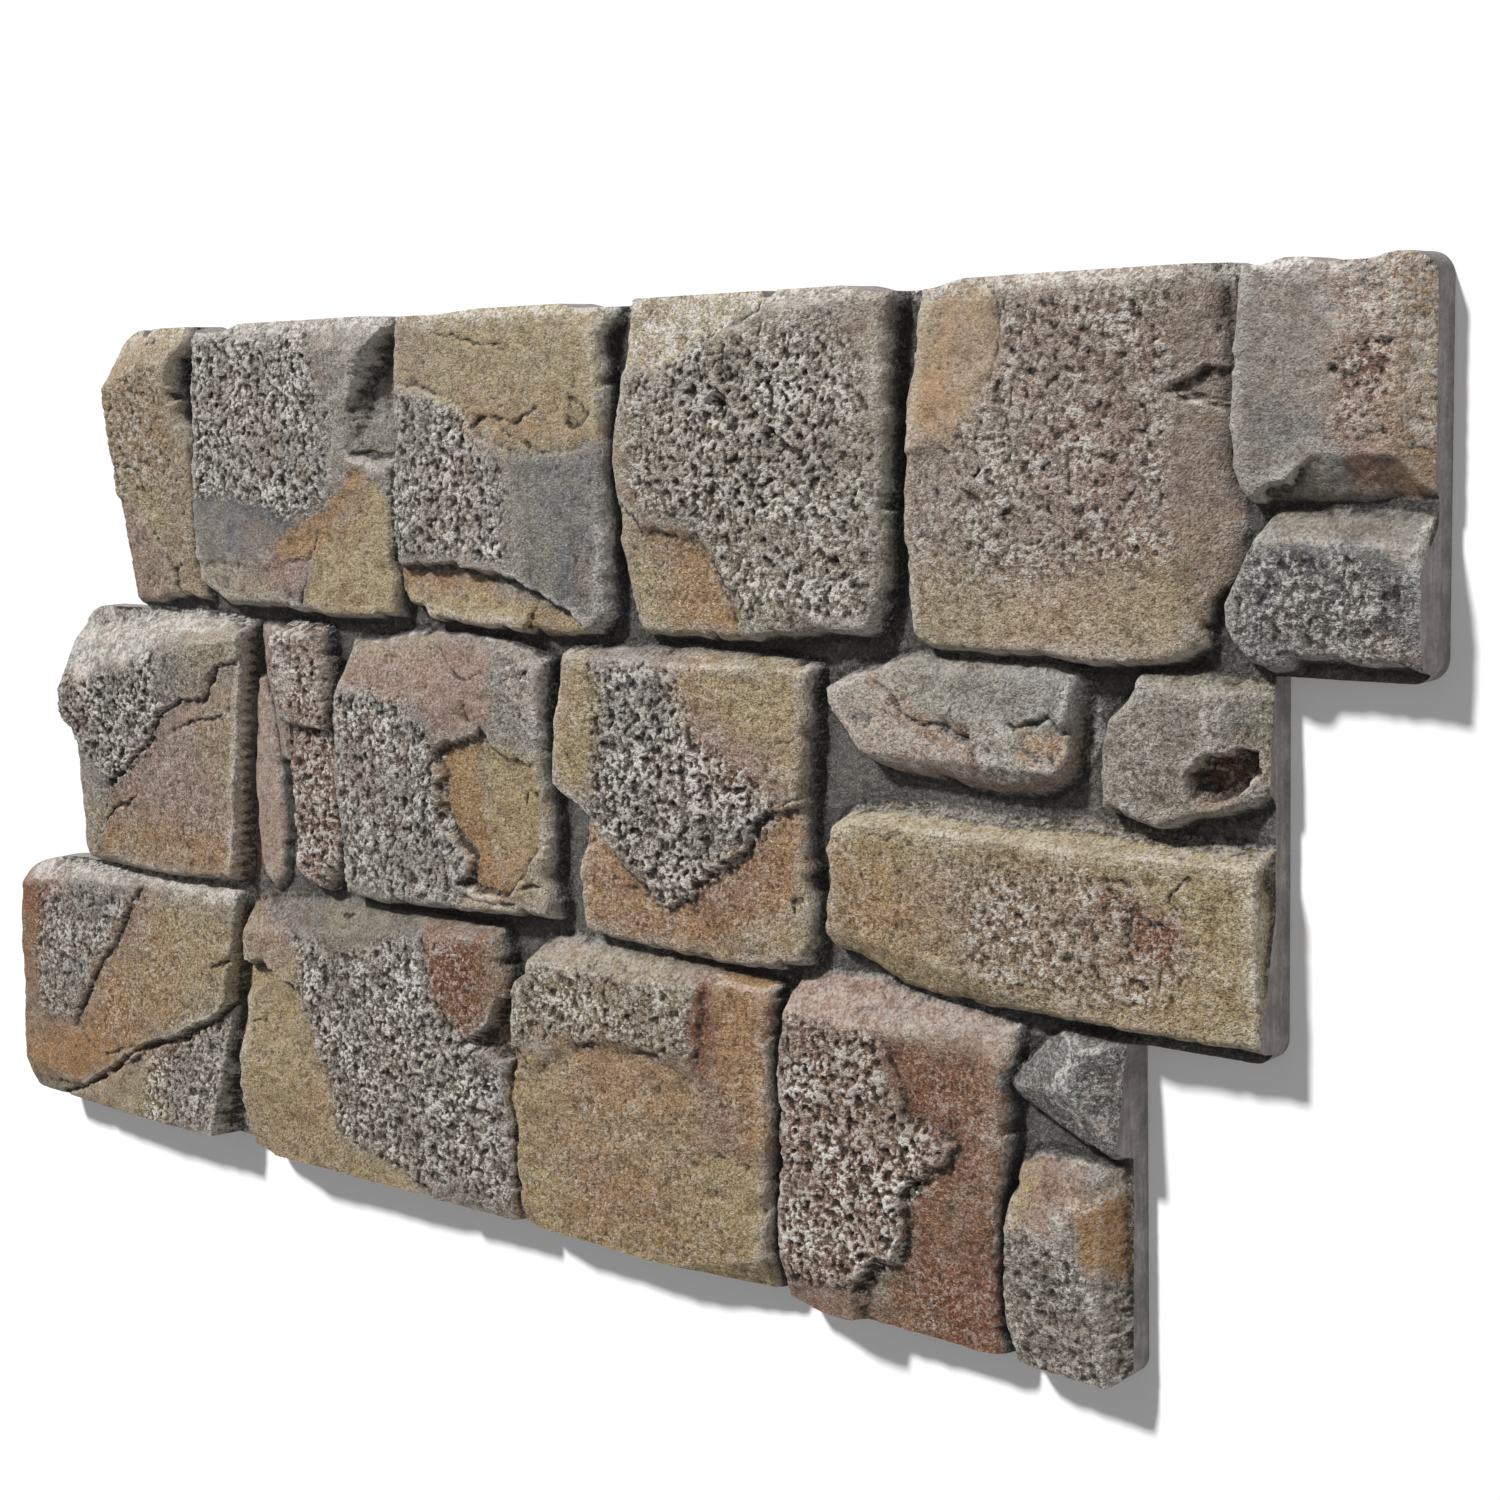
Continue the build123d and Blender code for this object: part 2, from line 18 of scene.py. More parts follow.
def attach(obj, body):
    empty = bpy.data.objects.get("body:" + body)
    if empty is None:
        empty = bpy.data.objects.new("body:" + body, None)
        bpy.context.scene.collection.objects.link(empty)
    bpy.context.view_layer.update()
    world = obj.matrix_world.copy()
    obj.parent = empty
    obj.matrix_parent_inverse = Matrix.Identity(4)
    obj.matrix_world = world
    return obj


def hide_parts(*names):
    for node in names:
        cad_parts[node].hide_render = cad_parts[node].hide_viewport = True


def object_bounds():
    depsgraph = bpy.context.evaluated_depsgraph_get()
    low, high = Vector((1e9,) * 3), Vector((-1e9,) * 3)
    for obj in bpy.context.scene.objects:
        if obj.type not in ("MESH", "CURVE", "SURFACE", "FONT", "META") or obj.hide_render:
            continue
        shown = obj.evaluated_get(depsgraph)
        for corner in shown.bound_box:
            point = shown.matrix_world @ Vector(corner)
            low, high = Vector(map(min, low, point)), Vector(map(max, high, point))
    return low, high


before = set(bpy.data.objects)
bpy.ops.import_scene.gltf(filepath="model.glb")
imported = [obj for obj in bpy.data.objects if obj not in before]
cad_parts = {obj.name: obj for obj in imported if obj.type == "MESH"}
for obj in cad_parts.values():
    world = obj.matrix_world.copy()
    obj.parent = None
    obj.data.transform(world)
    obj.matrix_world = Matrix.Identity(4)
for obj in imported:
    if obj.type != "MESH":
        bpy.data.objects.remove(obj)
cad_box = [list(corner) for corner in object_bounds()]
metre = 1000.0
panel_length, panel_height, panel_depth = [metre * (b - a) for a, b in zip(*cad_box)]
print("panel in millimetres:", panel_length, panel_height, round(panel_depth, 2))

# %% [markdown]
# ## Sizes
# Places on the face are written in millimetres from the lower left corner of
# the board's box, and heights from its back. Each course starts one step further
# right than the one below it, as on the real board, whose ends interlock.

# %% Courses and joints
course_step = 85.0
course_length = panel_length - 2 * course_step
course_lines = [0.0, 193.0, 395.0, panel_height]
joint_floor = 15.0
end_corner = 12.0


def course_start(number):
    return number * course_step


print("course length:", course_length)

# %% [markdown]
# ## Where the camera stands
# A pinhole camera was fitted to the board, whose corners and steps give the
# camera's place and turn. The outlines of the stones were read on one
# plane through the stone faces, so `on_sight` slides a place along the line of
# sight when the real feature stands higher or lower than that plane.

# %% Camera position and the plane the outlines were read on
camera_place = np.array([1704.9, 545.2, 1098.9])
reading_height = 32.0


def on_sight(places, height):
    """Moves places from the reading plane to another height.
    Each one slides along the straight line that joins it to the camera."""
    places = np.asarray(places, float)
    share = (camera_place[2] - height) / (camera_place[2] - reading_height)
    return camera_place[:2] + (places - camera_place[:2]) * share


print("a point read at (100, 100) but 45 mm high lies at", on_sight([100, 100], 45).round(1))

# %% [markdown]
# ## Noise
# Split stone is random at every scale. Gradient noise puts a random slope on
# each corner of a square lattice and blends the four slopes round a place with
# a smooth curve. Several layers of it, each finer and weaker, give lumps with
# grain on them. Whole arrays go in and come out, so a course takes seconds. Sizes
# are in millimetres, and a seed only picks one of many patterns of the same kind.

# %% Gradient noise and its layers
lattice = 256


def ease(t):
    """A curve from 0 to 1 that leaves and arrives level: 3 t squared less 2 t cubed."""
    t = np.clip(t, 0.0, 1.0)
    return t * t * (3.0 - 2.0 * t)


def noise(x, y, size, seed):
    """Random slopes on a lattice of the given size, blended between its corners: -1 to 1."""
    turn = np.random.RandomState(seed).rand(lattice, lattice) * 2 * np.pi
    u, v = x / size + 0.37 * seed, y / size + 0.73 * seed
    i, j = np.floor(u).astype(int), np.floor(v).astype(int)
    a, b = u - i, v - j

    def slope(di, dj):
        angle = turn[(i + di) % lattice, (j + dj) % lattice]
        return np.cos(angle) * (a - di) + np.sin(angle) * (b - dj)

    across, up = ease(a), ease(b)
    low = slope(0, 0) + across * (slope(1, 0) - slope(0, 0))
    high = slope(0, 1) + across * (slope(1, 1) - slope(0, 1))
    return 1.5 * (low + up * (high - low))


def layers(x, y, size, seed, count=3, fade=0.5):
    """Noise added to finer and weaker noise, each layer half the size of the last."""
    total, weight = 0.0, 1.0
    for number in range(count):
        total = total + weight * noise(x, y, size / 2 ** number, seed + number)
        weight *= fade
    return total


print("noise at one place:", noise(np.array([10.0]), np.array([20.0]), 7.0, 3).round(3))

# %% Bumps round scattered points


def crust(x, y, size, seed):
    """Round bumps round points scattered one to a cell: 1 on a point, falling with the distance to it."""
    places = np.random.RandomState(seed).rand(2, lattice, lattice)
    u, v = x / size + 0.61 * seed, y / size + 0.29 * seed
    i, j = np.floor(u).astype(int), np.floor(v).astype(int)
    best = np.full(x.shape, 9.0)
    for di in (-1, 0, 1):
        for dj in (-1, 0, 1):
            cell = (i + di) % lattice, (j + dj) % lattice
            across, up = i + di + places[0][cell] - u, j + dj + places[1][cell] - v
            best = np.minimum(best, across * across + up * up)
    return 1 - np.sqrt(best)


print("bumps at one place:", crust(np.array([10.0]), np.array([20.0]), 7.0, 3).round(3))

# %% [markdown]
# ## Distance to an outline
# Every edge on the face, of a stone, a cleft or a patch of paint, is a short
# closed outline. The signed distance to it says how far inside a place lies,
# and everything soft or steep about an edge is a function of that distance.

# %% Signed distance to a closed outline


def reach(x, y, outline):
    """Distance to the nearest side, positive inside, and the nearest place on it.
    A place is inside when a ray from it crosses the sides an odd number of times."""
    best = np.full(x.shape, 1e9)
    near_x, near_y = x.copy(), y.copy()
    inside = np.zeros(x.shape, bool)
    for (ax, ay), (bx, by) in zip(outline, np.roll(outline, -1, axis=0)):
        dx, dy = bx - ax, by - ay
        share = np.clip(((x - ax) * dx + (y - ay) * dy) / (dx * dx + dy * dy), 0, 1)
        qx, qy = ax + share * dx, ay + share * dy
        gap = np.hypot(x - qx, y - qy)
        closer = gap < best
        best = np.where(closer, gap, best)
        near_x, near_y = np.where(closer, qx, near_x), np.where(closer, qy, near_y)
        if ay != by:
            crosses = ((ay > y) != (by > y)) & (x < ax + (y - ay) * dx / dy)
            inside ^= crosses
    return np.where(inside, best, -best), near_x, near_y


unit_square = [(0, 0), (1, 0), (1, 1), (0, 1)]
print("inside a unit square:", reach(np.array([0.5]), np.array([0.8]), unit_square)[0].round(2))

# %% Distance to an open line


def line_gap(x, y, line):
    """Distance to an open line of straight runs, and how far along it the nearest place is, 0 to 1."""
    best = np.full(x.shape, 1e9)
    along = np.zeros(x.shape)
    runs = len(line) - 1
    for number, ((ax, ay), (bx, by)) in enumerate(zip(line[:-1], line[1:])):
        dx, dy = bx - ax, by - ay
        share = np.clip(((x - ax) * dx + (y - ay) * dy) / (dx * dx + dy * dy), 0, 1)
        gap = np.hypot(x - ax - share * dx, y - ay - share * dy)
        along = np.where(gap < best, (number + share) / runs, along)
        best = np.minimum(best, gap)
    return best, along


print("gap to a line:", line_gap(np.array([0.5]), np.array([0.8]), unit_square[:2])[0].round(2))

# %% [markdown]
# ## How a stone is described
# A stone is an outline, the planes its face is split along, the clefts where a
# layer has come away, its cracks, the coats of paint on it and where its face is
# rough. Planes and clefts come first because they throw the shadows that make
# the stone; the grain only breaks up what they leave.

# %% A stone's recipe
# In the coats of the stones, chalk is pale paint and also painted highlight: most of it lies on the upper
# bevels and edges that face the light.
stones = []


def plane(places):
    """The plane through three places, as height = a x + b y + c."""
    spots = [(*on_sight(p[:2], p[2]), p[2]) for p in places]
    rows = np.array([[x, y, 1.0] for x, y, z in spots])
    return np.linalg.solve(rows, [z for x, y, z in spots])


def stone(name, level, outline, facets, clefts=(), cracks=(), coats=(), rough=()):
    """Keeps one stone. Clefts are (outline, floor, softness), cracks (line, depth, width),
    coats (paint, strength, outline or None for the whole stone, softness) and
    rough (amount, outline or None, softness)."""
    stones.append({
        "name": name,
        "level": level,
        "outline": on_sight(outline, level),
        "facets": [plane(f) for f in facets],
        "clefts": [(on_sight(area, level), plane(floor), soft) for area, floor, soft in clefts],
        "cracks": [(on_sight(line, level), depth, width) for line, depth, width in cracks],
        "coats": [(p, s, None if a is None else on_sight(a, level), soft) for p, s, a, soft in coats],
        "rough": [(s, None if a is None else on_sight(a, level), soft) for s, a, soft in rough],
    })
    print(name, "has", len(facets), "planes,", len(clefts), "clefts and", len(cracks), "cracks")


# %% [markdown]
# ## The bottom course
# Six stones. The long one at the left end is split twice by deep slanting cracks.
# Each band between them starts lower at its crack than the one above it, and rises
# again toward the foot.

# %% Long stone with two slanting cracks
stone(
    "long_cracked", 35,
    [(-40, 196), (-40, -30), (263, -30), (264, 20), (264, 60), (268, 85),
     (271, 100), (277, 120), (277, 150), (279, 168), (277, 184), (262, 194)],
    [
        [(0, 150, 35), (0, 20, 42), (200, 100, 36)],
        [(40, 190, 21), (200, 194, 21), (120, 178, 36)],
        [(-3, 168, 34), (5, 178, 27), (60, 174, 36)],
        [(250, 70, 32), (238, 5, 32), (263, 30, 19)],
        [(-3, 12, 38), (20, -3, 32), (40, 14, 42)],
    ],
    clefts=[
        ([(62, 60), (72, 75), (80, 85), (88, 100), (100, 115), (107, 125), (118, 133), (125, 145),
          (135, 158), (145, 168), (154, 184), (160, 205), (300, 205), (300, 60), (120, 20)],
         [(66, 60, 37), (140, 150, 31), (240, 110, 34)], 2.0),
        ([(-50, -4), (30, -3), (50, 5), (75, 12), (90, 20), (105, 30), (115, 35), (130, 40),
          (150, 55), (165, 63), (180, 64), (195, 68), (205, 77), (220, 83), (240, 90), (250, 102),
          (262, 112), (290, 126), (290, -40), (-50, -40)],
         [(60, 0, 39), (230, 80, 29), (230, 10, 36)], 2.0),
        ([(-20, 7), (5, 8), (40, 12), (76, 13), (60, 5), (30, -4), (-20, -5)],
         [(0, 5, 36), (70, 12, 38), (20, -5, 35)], 2.0),
    ],
    cracks=[
        ([(66, 64), (80, 85), (100, 115), (118, 133), (135, 158), (152, 180)], 3.0, 3.5),
        ([(30, -3), (75, 12), (115, 35), (150, 55), (195, 68), (240, 90), (278, 121)], 5.0, 4.0),
        ([(98, 40), (125, 50), (150, 56)], 2.0, 2.5),
        ([(238, 129), (258, 137), (273, 145), (276, 155)], 4.0, 4.0),
        ([(175, 48), (190, 52), (198, 60), (206, 66)], 2.0, 2.5),
    ],
    coats=[
        ("rust", 0.85, [(-20, 175), (46, 172), (28, 145), (20, 110), (12, 85), (-20, 80)], 14),
        ("rust", 0.3, [(-20, 90), (20, 90), (66, 64), (70, 20), (-20, 10)], 14),
        ("ochre", 0.8, [(-20, 50), (66, 60), (95, 105), (150, 170), (190, 150), (190, 80), (140, 45),
                        (75, 15), (-20, 12)], 14),
        ("rose", 0.75, [(118, 132), (155, 184), (178, 182), (146, 125)], 10),
        ("tan", 0.8, [(120, 110), (165, 170), (240, 178), (280, 150), (280, 125), (240, 95), (165, 68)], 20),
        ("tan", 0.45, [(40, -10), (110, 30), (165, 50), (175, 0), (60, -20)], 14),
        ("rose", 0.6, [(128, 38), (170, 64), (200, 70), (190, 48), (150, 40)], 8),
        ("chalk_and_highlight", 0.7, [(0, 172), (100, 178), (180, 181), (240, 176), (280, 186), (280, 210), (0, 210)], 5),
    ],
    rough=[
        (0.85, [(15, 168), (100, 178), (148, 170), (80, 86), (64, 62), (15, 70)], 12),
        (0.55, [(100, 110), (150, 180), (270, 180), (278, 120), (200, 70), (80, 50)], 12),
        (0.9, [(150, 52), (200, 74), (250, 95), (255, 5), (150, -5)], 10),
    ],
)

# %% Broad stone with a slanting rough band and a red upper corner
stone(
    "broad_rough", 34,
    [(279, 184), (276, 172), (276, 150), (276, 120), (275, 95), (273, 60), (270, 30), (271, 14),
     (273, -30), (559, -30), (558, 10), (558, 40), (556, 70), (555, 95),
     (557, 110), (559, 140), (556, 165), (550, 186), (546, 195), (480, 196), (400, 196), (330, 194),
     (290, 190)],
    [
        [(277, 100, 33), (400, 100, 36), (380, 30, 38.5)],
        [(400, 100, 36), (555, 80, 33), (480, 150, 35)],
        [(350, 164, 35.5), (470, 181, 35), (400, 194, 21)],
        [(280, 182, 32), (336, 184, 32), (310, 194, 23)],
        [(271, 24, 32), (296, 0, 32), (274, 0, 22)],
    ],
    clefts=[
        ([(250, -40), (250, 138), (300, 140), (335, 128), (345, 110), (360, 98), (358, 86), (370, 73),
          (376, 60), (378, 50), (383, 35), (392, 28), (405, 25), (420, 22), (440, 19), (455, 13),
          (475, 4), (500, -40)],
         [(280, 100, 31), (360, 60, 31), (420, 5, 35.5)], 3.0),
        ([(512, 121), (520, 117), (535, 126), (545, 140), (552, 150), (570, 150), (570, 111),
          (545, 109), (530, 112), (518, 114)],
         [(520, 116, 27), (558, 118, 21), (556, 145, 20)], 2.5),
    ],
    cracks=[
        ([(478, 188), (480, 170), (487, 150), (497, 133), (510, 121)], 2.5, 3.0),
        ([(385, 186), (392, 184), (398, 188)], 2.5, 3.5),
        ([(284, 95), (296, 97)], 2.5, 3.0),
    ],
    coats=[
        ("tan", 0.75, [(265, 190), (300, 170), (340, 150), (350, 100), (378, 55), (392, 26), (450, 12),
                       (480, -30), (265, -30)], 14),
        ("rose", 0.45, [(277, 184), (345, 180), (345, 150), (277, 145)], 10),
        ("rust", 1.0, [(480, 190), (546, 194), (557, 165), (548, 140), (520, 117), (495, 134)], 6),
        ("rust", 0.4, [(512, 121), (552, 150), (562, 140), (560, 110), (520, 112)], 5),
        ("ochre", 0.4, [(330, 62), (378, 62), (376, 32), (330, 36)], 12),
        ("tan", 0.35, [(300, 196), (470, 194), (470, 180), (350, 164)], 8),
        ("slate", 0.45, [(280, 200), (470, 200), (476, 176), (350, 160), (300, 176)], 8),
    ],
    rough=[
        (1.0, [(340, 164), (400, 164), (470, 182), (500, 130), (556, 100), (556, 8), (470, 8),
               (385, 30), (372, 62), (340, 112)], 14),
        (0.45, [(265, 190), (345, 190), (345, 110), (380, 30), (480, -30), (265, -30)], 10),
        (0.6, [(480, 190), (556, 190), (556, 110), (500, 110)], 8),
    ],
)

# %% Stone with a rough upper band over an ochre face
stone(
    "banded", 34,
    [(585, 187), (580, 181), (578, 169), (567, 164), (562, 157), (561, 120), (560, 98), (557, 85),
     (560, 70), (561, 40), (561, 14), (562, -30), (778, -30), (778, 32), (779, 60), (781, 90), (780, 120),
     (781, 150),
     (785, 190), (760, 195), (700, 197), (640, 198), (600, 195)],
    [
        [(562, 60, 33.5), (700, 60, 35), (620, 150, 36)],
        [(725, 150, 35), (782, 120, 32), (770, 60, 33)],
        [(590, 196, 23), (700, 198, 23), (640, 181, 36)],
        [(700, 198, 26), (785, 193, 26), (740, 188, 34)],
        [(561, 22, 33), (588, 3, 33), (566, 2, 25)],
        [(700, 1, 34), (774, 21, 34), (745, -2, 23)],
    ],
    clefts=[
        ([(540, 104), (572, 102), (580, 106), (590, 114), (604, 122), (620, 130), (650, 137),
          (700, 136), (722, 130), (728, 150), (730, 220), (810, 220), (810, -40), (540, -40)],
         [(565, 60, 32), (640, 125, 31.5), (770, 100, 32)], 4.0),
        ([(556, 122), (566, 120), (578, 112), (574, 103), (556, 103)],
         [(560, 118, 30), (575, 104, 30), (558, 104, 29)], 2.0),
    ],
    cracks=[
        ([(642, 190), (640, 183), (650, 180)], 1.5, 3.0),
        ([(664, 192), (668, 184), (660, 181)], 1.5, 3.0),
        ([(738, 80), (755, 75), (775, 77)], 1.5, 3.0),
    ],
    coats=[
        ("tan", 0.4, [(560, 190), (725, 200), (725, 135), (560, 120)], 10),
        ("tan", 0.85, [(555, 118), (600, 122), (650, 134), (725, 130), (785, 90), (785, -30),
                       (555, -30)], 10),
        ("ochre", 0.55, [(600, 122), (650, 134), (725, 130), (735, 80), (640, 85)], 16),
        ("ochre", 0.6, [(605, 66), (700, 66), (700, 12), (605, 8)], 22),
        ("ochre", 0.85, [(734, 200), (790, 200), (786, 84), (742, 84)], 8),
        ("rust", 0.9, [(728, 188), (740, 190), (742, 160), (738, 125), (727, 122), (723, 160)], 6),
        ("rose", 0.7, [(733, 118), (762, 112), (762, 84), (733, 84)], 8),
        ("chalk_and_highlight", 0.3, [(580, 205), (700, 205), (700, 186), (640, 182), (590, 180)], 5),
    ],
    rough=[
        (0.85, [(563, 178), (725, 188), (725, 138), (620, 132), (563, 122)], 8),
        (0.5, [(556, 118), (785, 130), (785, 0), (556, 0)], 10),
        (0.4, [(730, 195), (785, 195), (785, 90), (730, 90)], 8),
    ],
)

# %% Stone with a coarse pitted half and a smooth red one
stone(
    "pitted", 34,
    [(797, 187), (796, 170), (792, 155), (791, 120), (793, 90), (790, 60), (788, 30), (789, 12),
     (790, -30), (946, -30), (946, 5), (945, 40), (946, 80), (951, 110), (954, 140),
     (956, 170), (958, 191), (930, 195), (900, 198), (870, 202), (830, 203), (805, 197)],
    [
        [(795, 100, 34.5), (880, 100, 36), (830, 30, 36)],
        [(800, 195, 23), (870, 202, 23), (835, 178, 36)],
        [(880, 199, 24), (955, 192, 24), (910, 176, 33)],
        [(789, 26, 33), (812, 2, 33), (792, 2, 23)],
    ],
    clefts=[
        ([(868, 220), (866, 185), (872, 170), (880, 155), (884, 140), (885, 129), (895, 122),
          (915, 122), (923, 120), (920, 110), (905, 100), (895, 95), (888, 88), (885, 80), (885, 65),
          (882, 50), (880, 42), (862, 37), (850, 20), (850, -40), (980, -40), (980, 220)],
         [(890, 70, 29), (950, 100, 30.5), (900, 170, 32)], 2.5),
    ],
    cracks=[([(850, 187), (865, 190)], 1.2, 2.0)],
    coats=[
        ("rose", 0.8, [(785, 205), (870, 205), (884, 130), (922, 121), (886, 80), (880, 42), (850, 20),
                       (785, 10)], 6),
        ("rust", 0.85, [(868, 178), (960, 178), (960, -30), (850, -30), (882, 45), (886, 85), (922, 118),
                        (886, 128)], 7),
        ("ochre", 0.45, [(900, 178), (960, 178), (955, 60), (920, 60), (930, 130)], 14),
        ("ochre", 0.4, [(890, 100), (930, 100), (930, 50), (890, 40)], 12),
        ("rust", 0.55, [(785, 40), (830, 10), (870, 25), (870, -30), (785, -30)], 12),
        ("rose", 0.6, [(865, 205), (960, 205), (960, 178), (870, 178)], 6),
        ("chalk_and_highlight", 0.35, [(795, 210), (960, 210), (960, 180), (870, 176), (800, 176)], 6),
    ],
    rough=[
        (1.15, [(795, 178), (866, 176), (884, 130), (922, 121), (886, 80), (880, 42), (850, 18),
                (792, 10)], 5),
        (0.5, [(870, 175), (956, 175), (946, 0), (850, 0), (890, 80)], 8),
    ],
)

# %% Small grey stone split to a ridge
stone(
    "ridged", 32,
    [(957, 162), (963, 155), (985, 143), (1008, 133), (1022, 130), (1041, 135), (1070, 134),
     (1070, 196), (1010, 197), (994, 196), (984, 190), (967, 172)],
    [
        [(962, 165, 26), (1000, 190, 30), (994, 166, 38)],
        [(962, 158, 25), (1005, 156, 38), (995, 140, 23)],
        [(1002, 185, 36), (1008, 150, 38), (1040, 165, 24)],
        [(1000, 196, 26), (1040, 194, 24), (1015, 186, 35)],
    ],
    coats=[
        ("slate", 0.9, None, 1),
        ("chalk_and_highlight", 0.75, [(998, 194), (1024, 192), (1006, 180), (1003, 168), (992, 163), (1004, 156),
                         (1013, 137), (1008, 137), (1000, 153), (984, 163), (984, 170), (996, 178)], 3),
        ("chalk_and_highlight", 0.25, [(960, 163), (984, 190), (998, 190), (990, 168)], 4),
    ],
    rough=[(0.5, None, 4)],
)

# %% Stone at the right end with pale speckles
stone(
    "speckled", 33,
    [(962, 113), (958, 92), (956, 70), (953, 40), (954, 20), (957, 6), (960, -30),
     (1070, -30), (1070, 119), (1040, 119), (1000, 122), (975, 121)],
    [
        [(957, 40, 33), (1015, 40, 34), (985, 82, 37)],
        [(965, 112, 26), (1000, 120, 27), (985, 84, 37)],
        [(1000, 98, 36), (1036, 108, 24), (1034, 60, 27)],
        [(1018, 60, 32), (1020, 10, 32), (1037, 40, 18)],
        [(956, 22, 32), (978, 0, 32), (960, 0, 22)],
    ],
    clefts=[([(1029, 104), (1035, 98), (1033, 92), (1028, 97)],
             [(1029, 104, 20), (1035, 98, 20), (1028, 92, 20)], 2.0)],
    coats=[
        ("tan", 0.7, [(960, 114), (986, 121), (986, 86), (958, 76)], 6),
        ("rose", 0.7, [(980, 121), (1002, 120), (1001, 99), (986, 83), (974, 92)], 5),
        ("ochre", 1.0, [(1000, 108), (1026, 110), (1037, 85), (1034, 58), (1012, 68), (1003, 90)], 6),
        ("chalk_and_highlight", 0.6, [(958, 78), (985, 88), (1001, 106), (1040, 116), (1040, 112), (1004, 96),
                        (988, 78), (975, 76), (962, 72)], 3),
        ("slate", 0.2, [(954, 74), (985, 80), (1012, 68), (1020, 0), (954, 0)], 8),
    ],
    rough=[(0.75, [(950, 76), (990, 82), (1036, 40), (1036, 0), (950, 0)], 6), (0.4, None, 4)],
)
print("bottom course:", [s["name"] for s in stones])

# %% [markdown]
# ## The middle course
# The left stone carries the highest boss on the board. Next to it stand a low
# sliver and a narrow upright stone. At the right two small stones lie over one
# long low one, and the smaller of them has a hollow broken into it.

# %% Stone with the highest boss
stone(
    "bossed", 33,
    [(30, 393), (30, 192), (95, 196), (200, 196), (250, 199), (285, 203), (292, 222), (300, 245),
     (303, 270), (307, 295), (312, 315), (317, 340), (319, 372), (306, 387), (250, 391), (130, 393)],
    [
        [(62, 338, 46), (250, 345, 37.5), (128, 258, 35)],
        [(62, 344, 46), (108, 380, 15), (240, 378, 37)],
        [(100, 392, 12), (180, 392, 22), (180, 362, 39)],
        [(200, 371, 38), (300, 385, 34), (250, 392, 24)],
        [(304, 385, 33), (281, 240, 33), (312, 315, 19)],
        [(84, 214, 31), (97, 199, 24), (112, 210, 33)],
    ],
    clefts=[
        ([(90, 180), (96, 206), (110, 222), (128, 258), (136, 262), (150, 272), (175, 285), (190, 300),
          (200, 318), (215, 322), (230, 330), (255, 332), (262, 345), (275, 357), (300, 362),
          (340, 372), (340, 180)],
         [(105, 240, 32), (290, 350, 34.5), (275, 215, 35)], 3.0),
        ([(40, 314), (74, 310), (90, 296), (102, 278), (112, 269), (128, 258), (110, 222), (96, 206),
          (90, 180), (40, 180)],
         [(88, 275, 28.5), (122, 258, 29.5), (97, 215, 27.5)], 3.0),
    ],
    cracks=[
        ([(100, 278), (128, 258), (150, 272), (188, 298), (200, 318), (230, 330), (256, 332),
          (275, 357), (318, 368)], 3.5, 3.5),
        ([(95, 205), (110, 222), (130, 240), (150, 246), (164, 255)], 3.5, 4.0),
        ([(206, 304), (240, 315), (272, 320), (285, 330)], 2.5, 3.0),
        ([(283, 216), (282, 224), (287, 234)], 3.0, 4.0),
    ],
    coats=[
        ("ochre", 0.7, [(90, 200), (130, 236), (200, 246), (290, 240), (290, 200)], 12),
        ("rose", 0.6, [(165, 290), (205, 322), (262, 345), (290, 345), (285, 235), (130, 240)], 12),
        ("tan", 0.55, [(235, 330), (300, 362), (310, 300), (285, 240), (240, 290)], 14),
        ("tan", 0.45, [(240, 382), (310, 386), (320, 372), (262, 345), (240, 352)], 12),
        ("tan", 0.4, [(84, 240), (140, 250), (250, 215), (240, 196), (90, 196)], 12),
        ("rust", 0.45, [(95, 204), (126, 240), (180, 292), (196, 300), (165, 250)], 8),
        ("chalk_and_highlight", 0.75, [(50, 345), (80, 346), (120, 342), (130, 354), (180, 358), (222, 378),
                         (300, 386), (300, 400), (50, 400)], 4),
    ],
    rough=[
        (1.15, [(50, 345), (120, 340), (200, 365), (206, 320), (180, 288), (130, 256), (80, 300)], 8),
        (0.6, [(200, 372), (300, 384), (300, 364), (255, 334), (200, 320)], 10),
        (0.5, [(90, 250), (290, 340), (290, 200), (90, 200)], 12),
    ],
)

# %% Low narrow sliver
stone(
    "sliver", 23,
    [(318, 352), (325, 350), (332, 336), (336, 316), (337, 296), (337, 245), (336, 224), (330, 208),
     (321, 201), (311, 207), (305, 222), (306, 284), (309, 309), (312, 335)],
    [[(312, 280, 21), (345, 280, 25), (325, 205, 22)]],
    coats=[("rose", 0.55, None, 1), ("chalk_and_highlight", 0.2, None, 1)],
    rough=[(0.08, None, 2)],
)

# %% Flank of the narrow upright stone
stone(
    "flank", 22,
    [(324, 389), (352, 389), (352, 296), (340, 296), (336, 330), (326, 354)],
    [[(346, 380, 31), (346, 300, 27), (322, 340, 15)]],
    coats=[("rose", 0.3, None, 1)],
    rough=[(0.3, None, 2)],
)

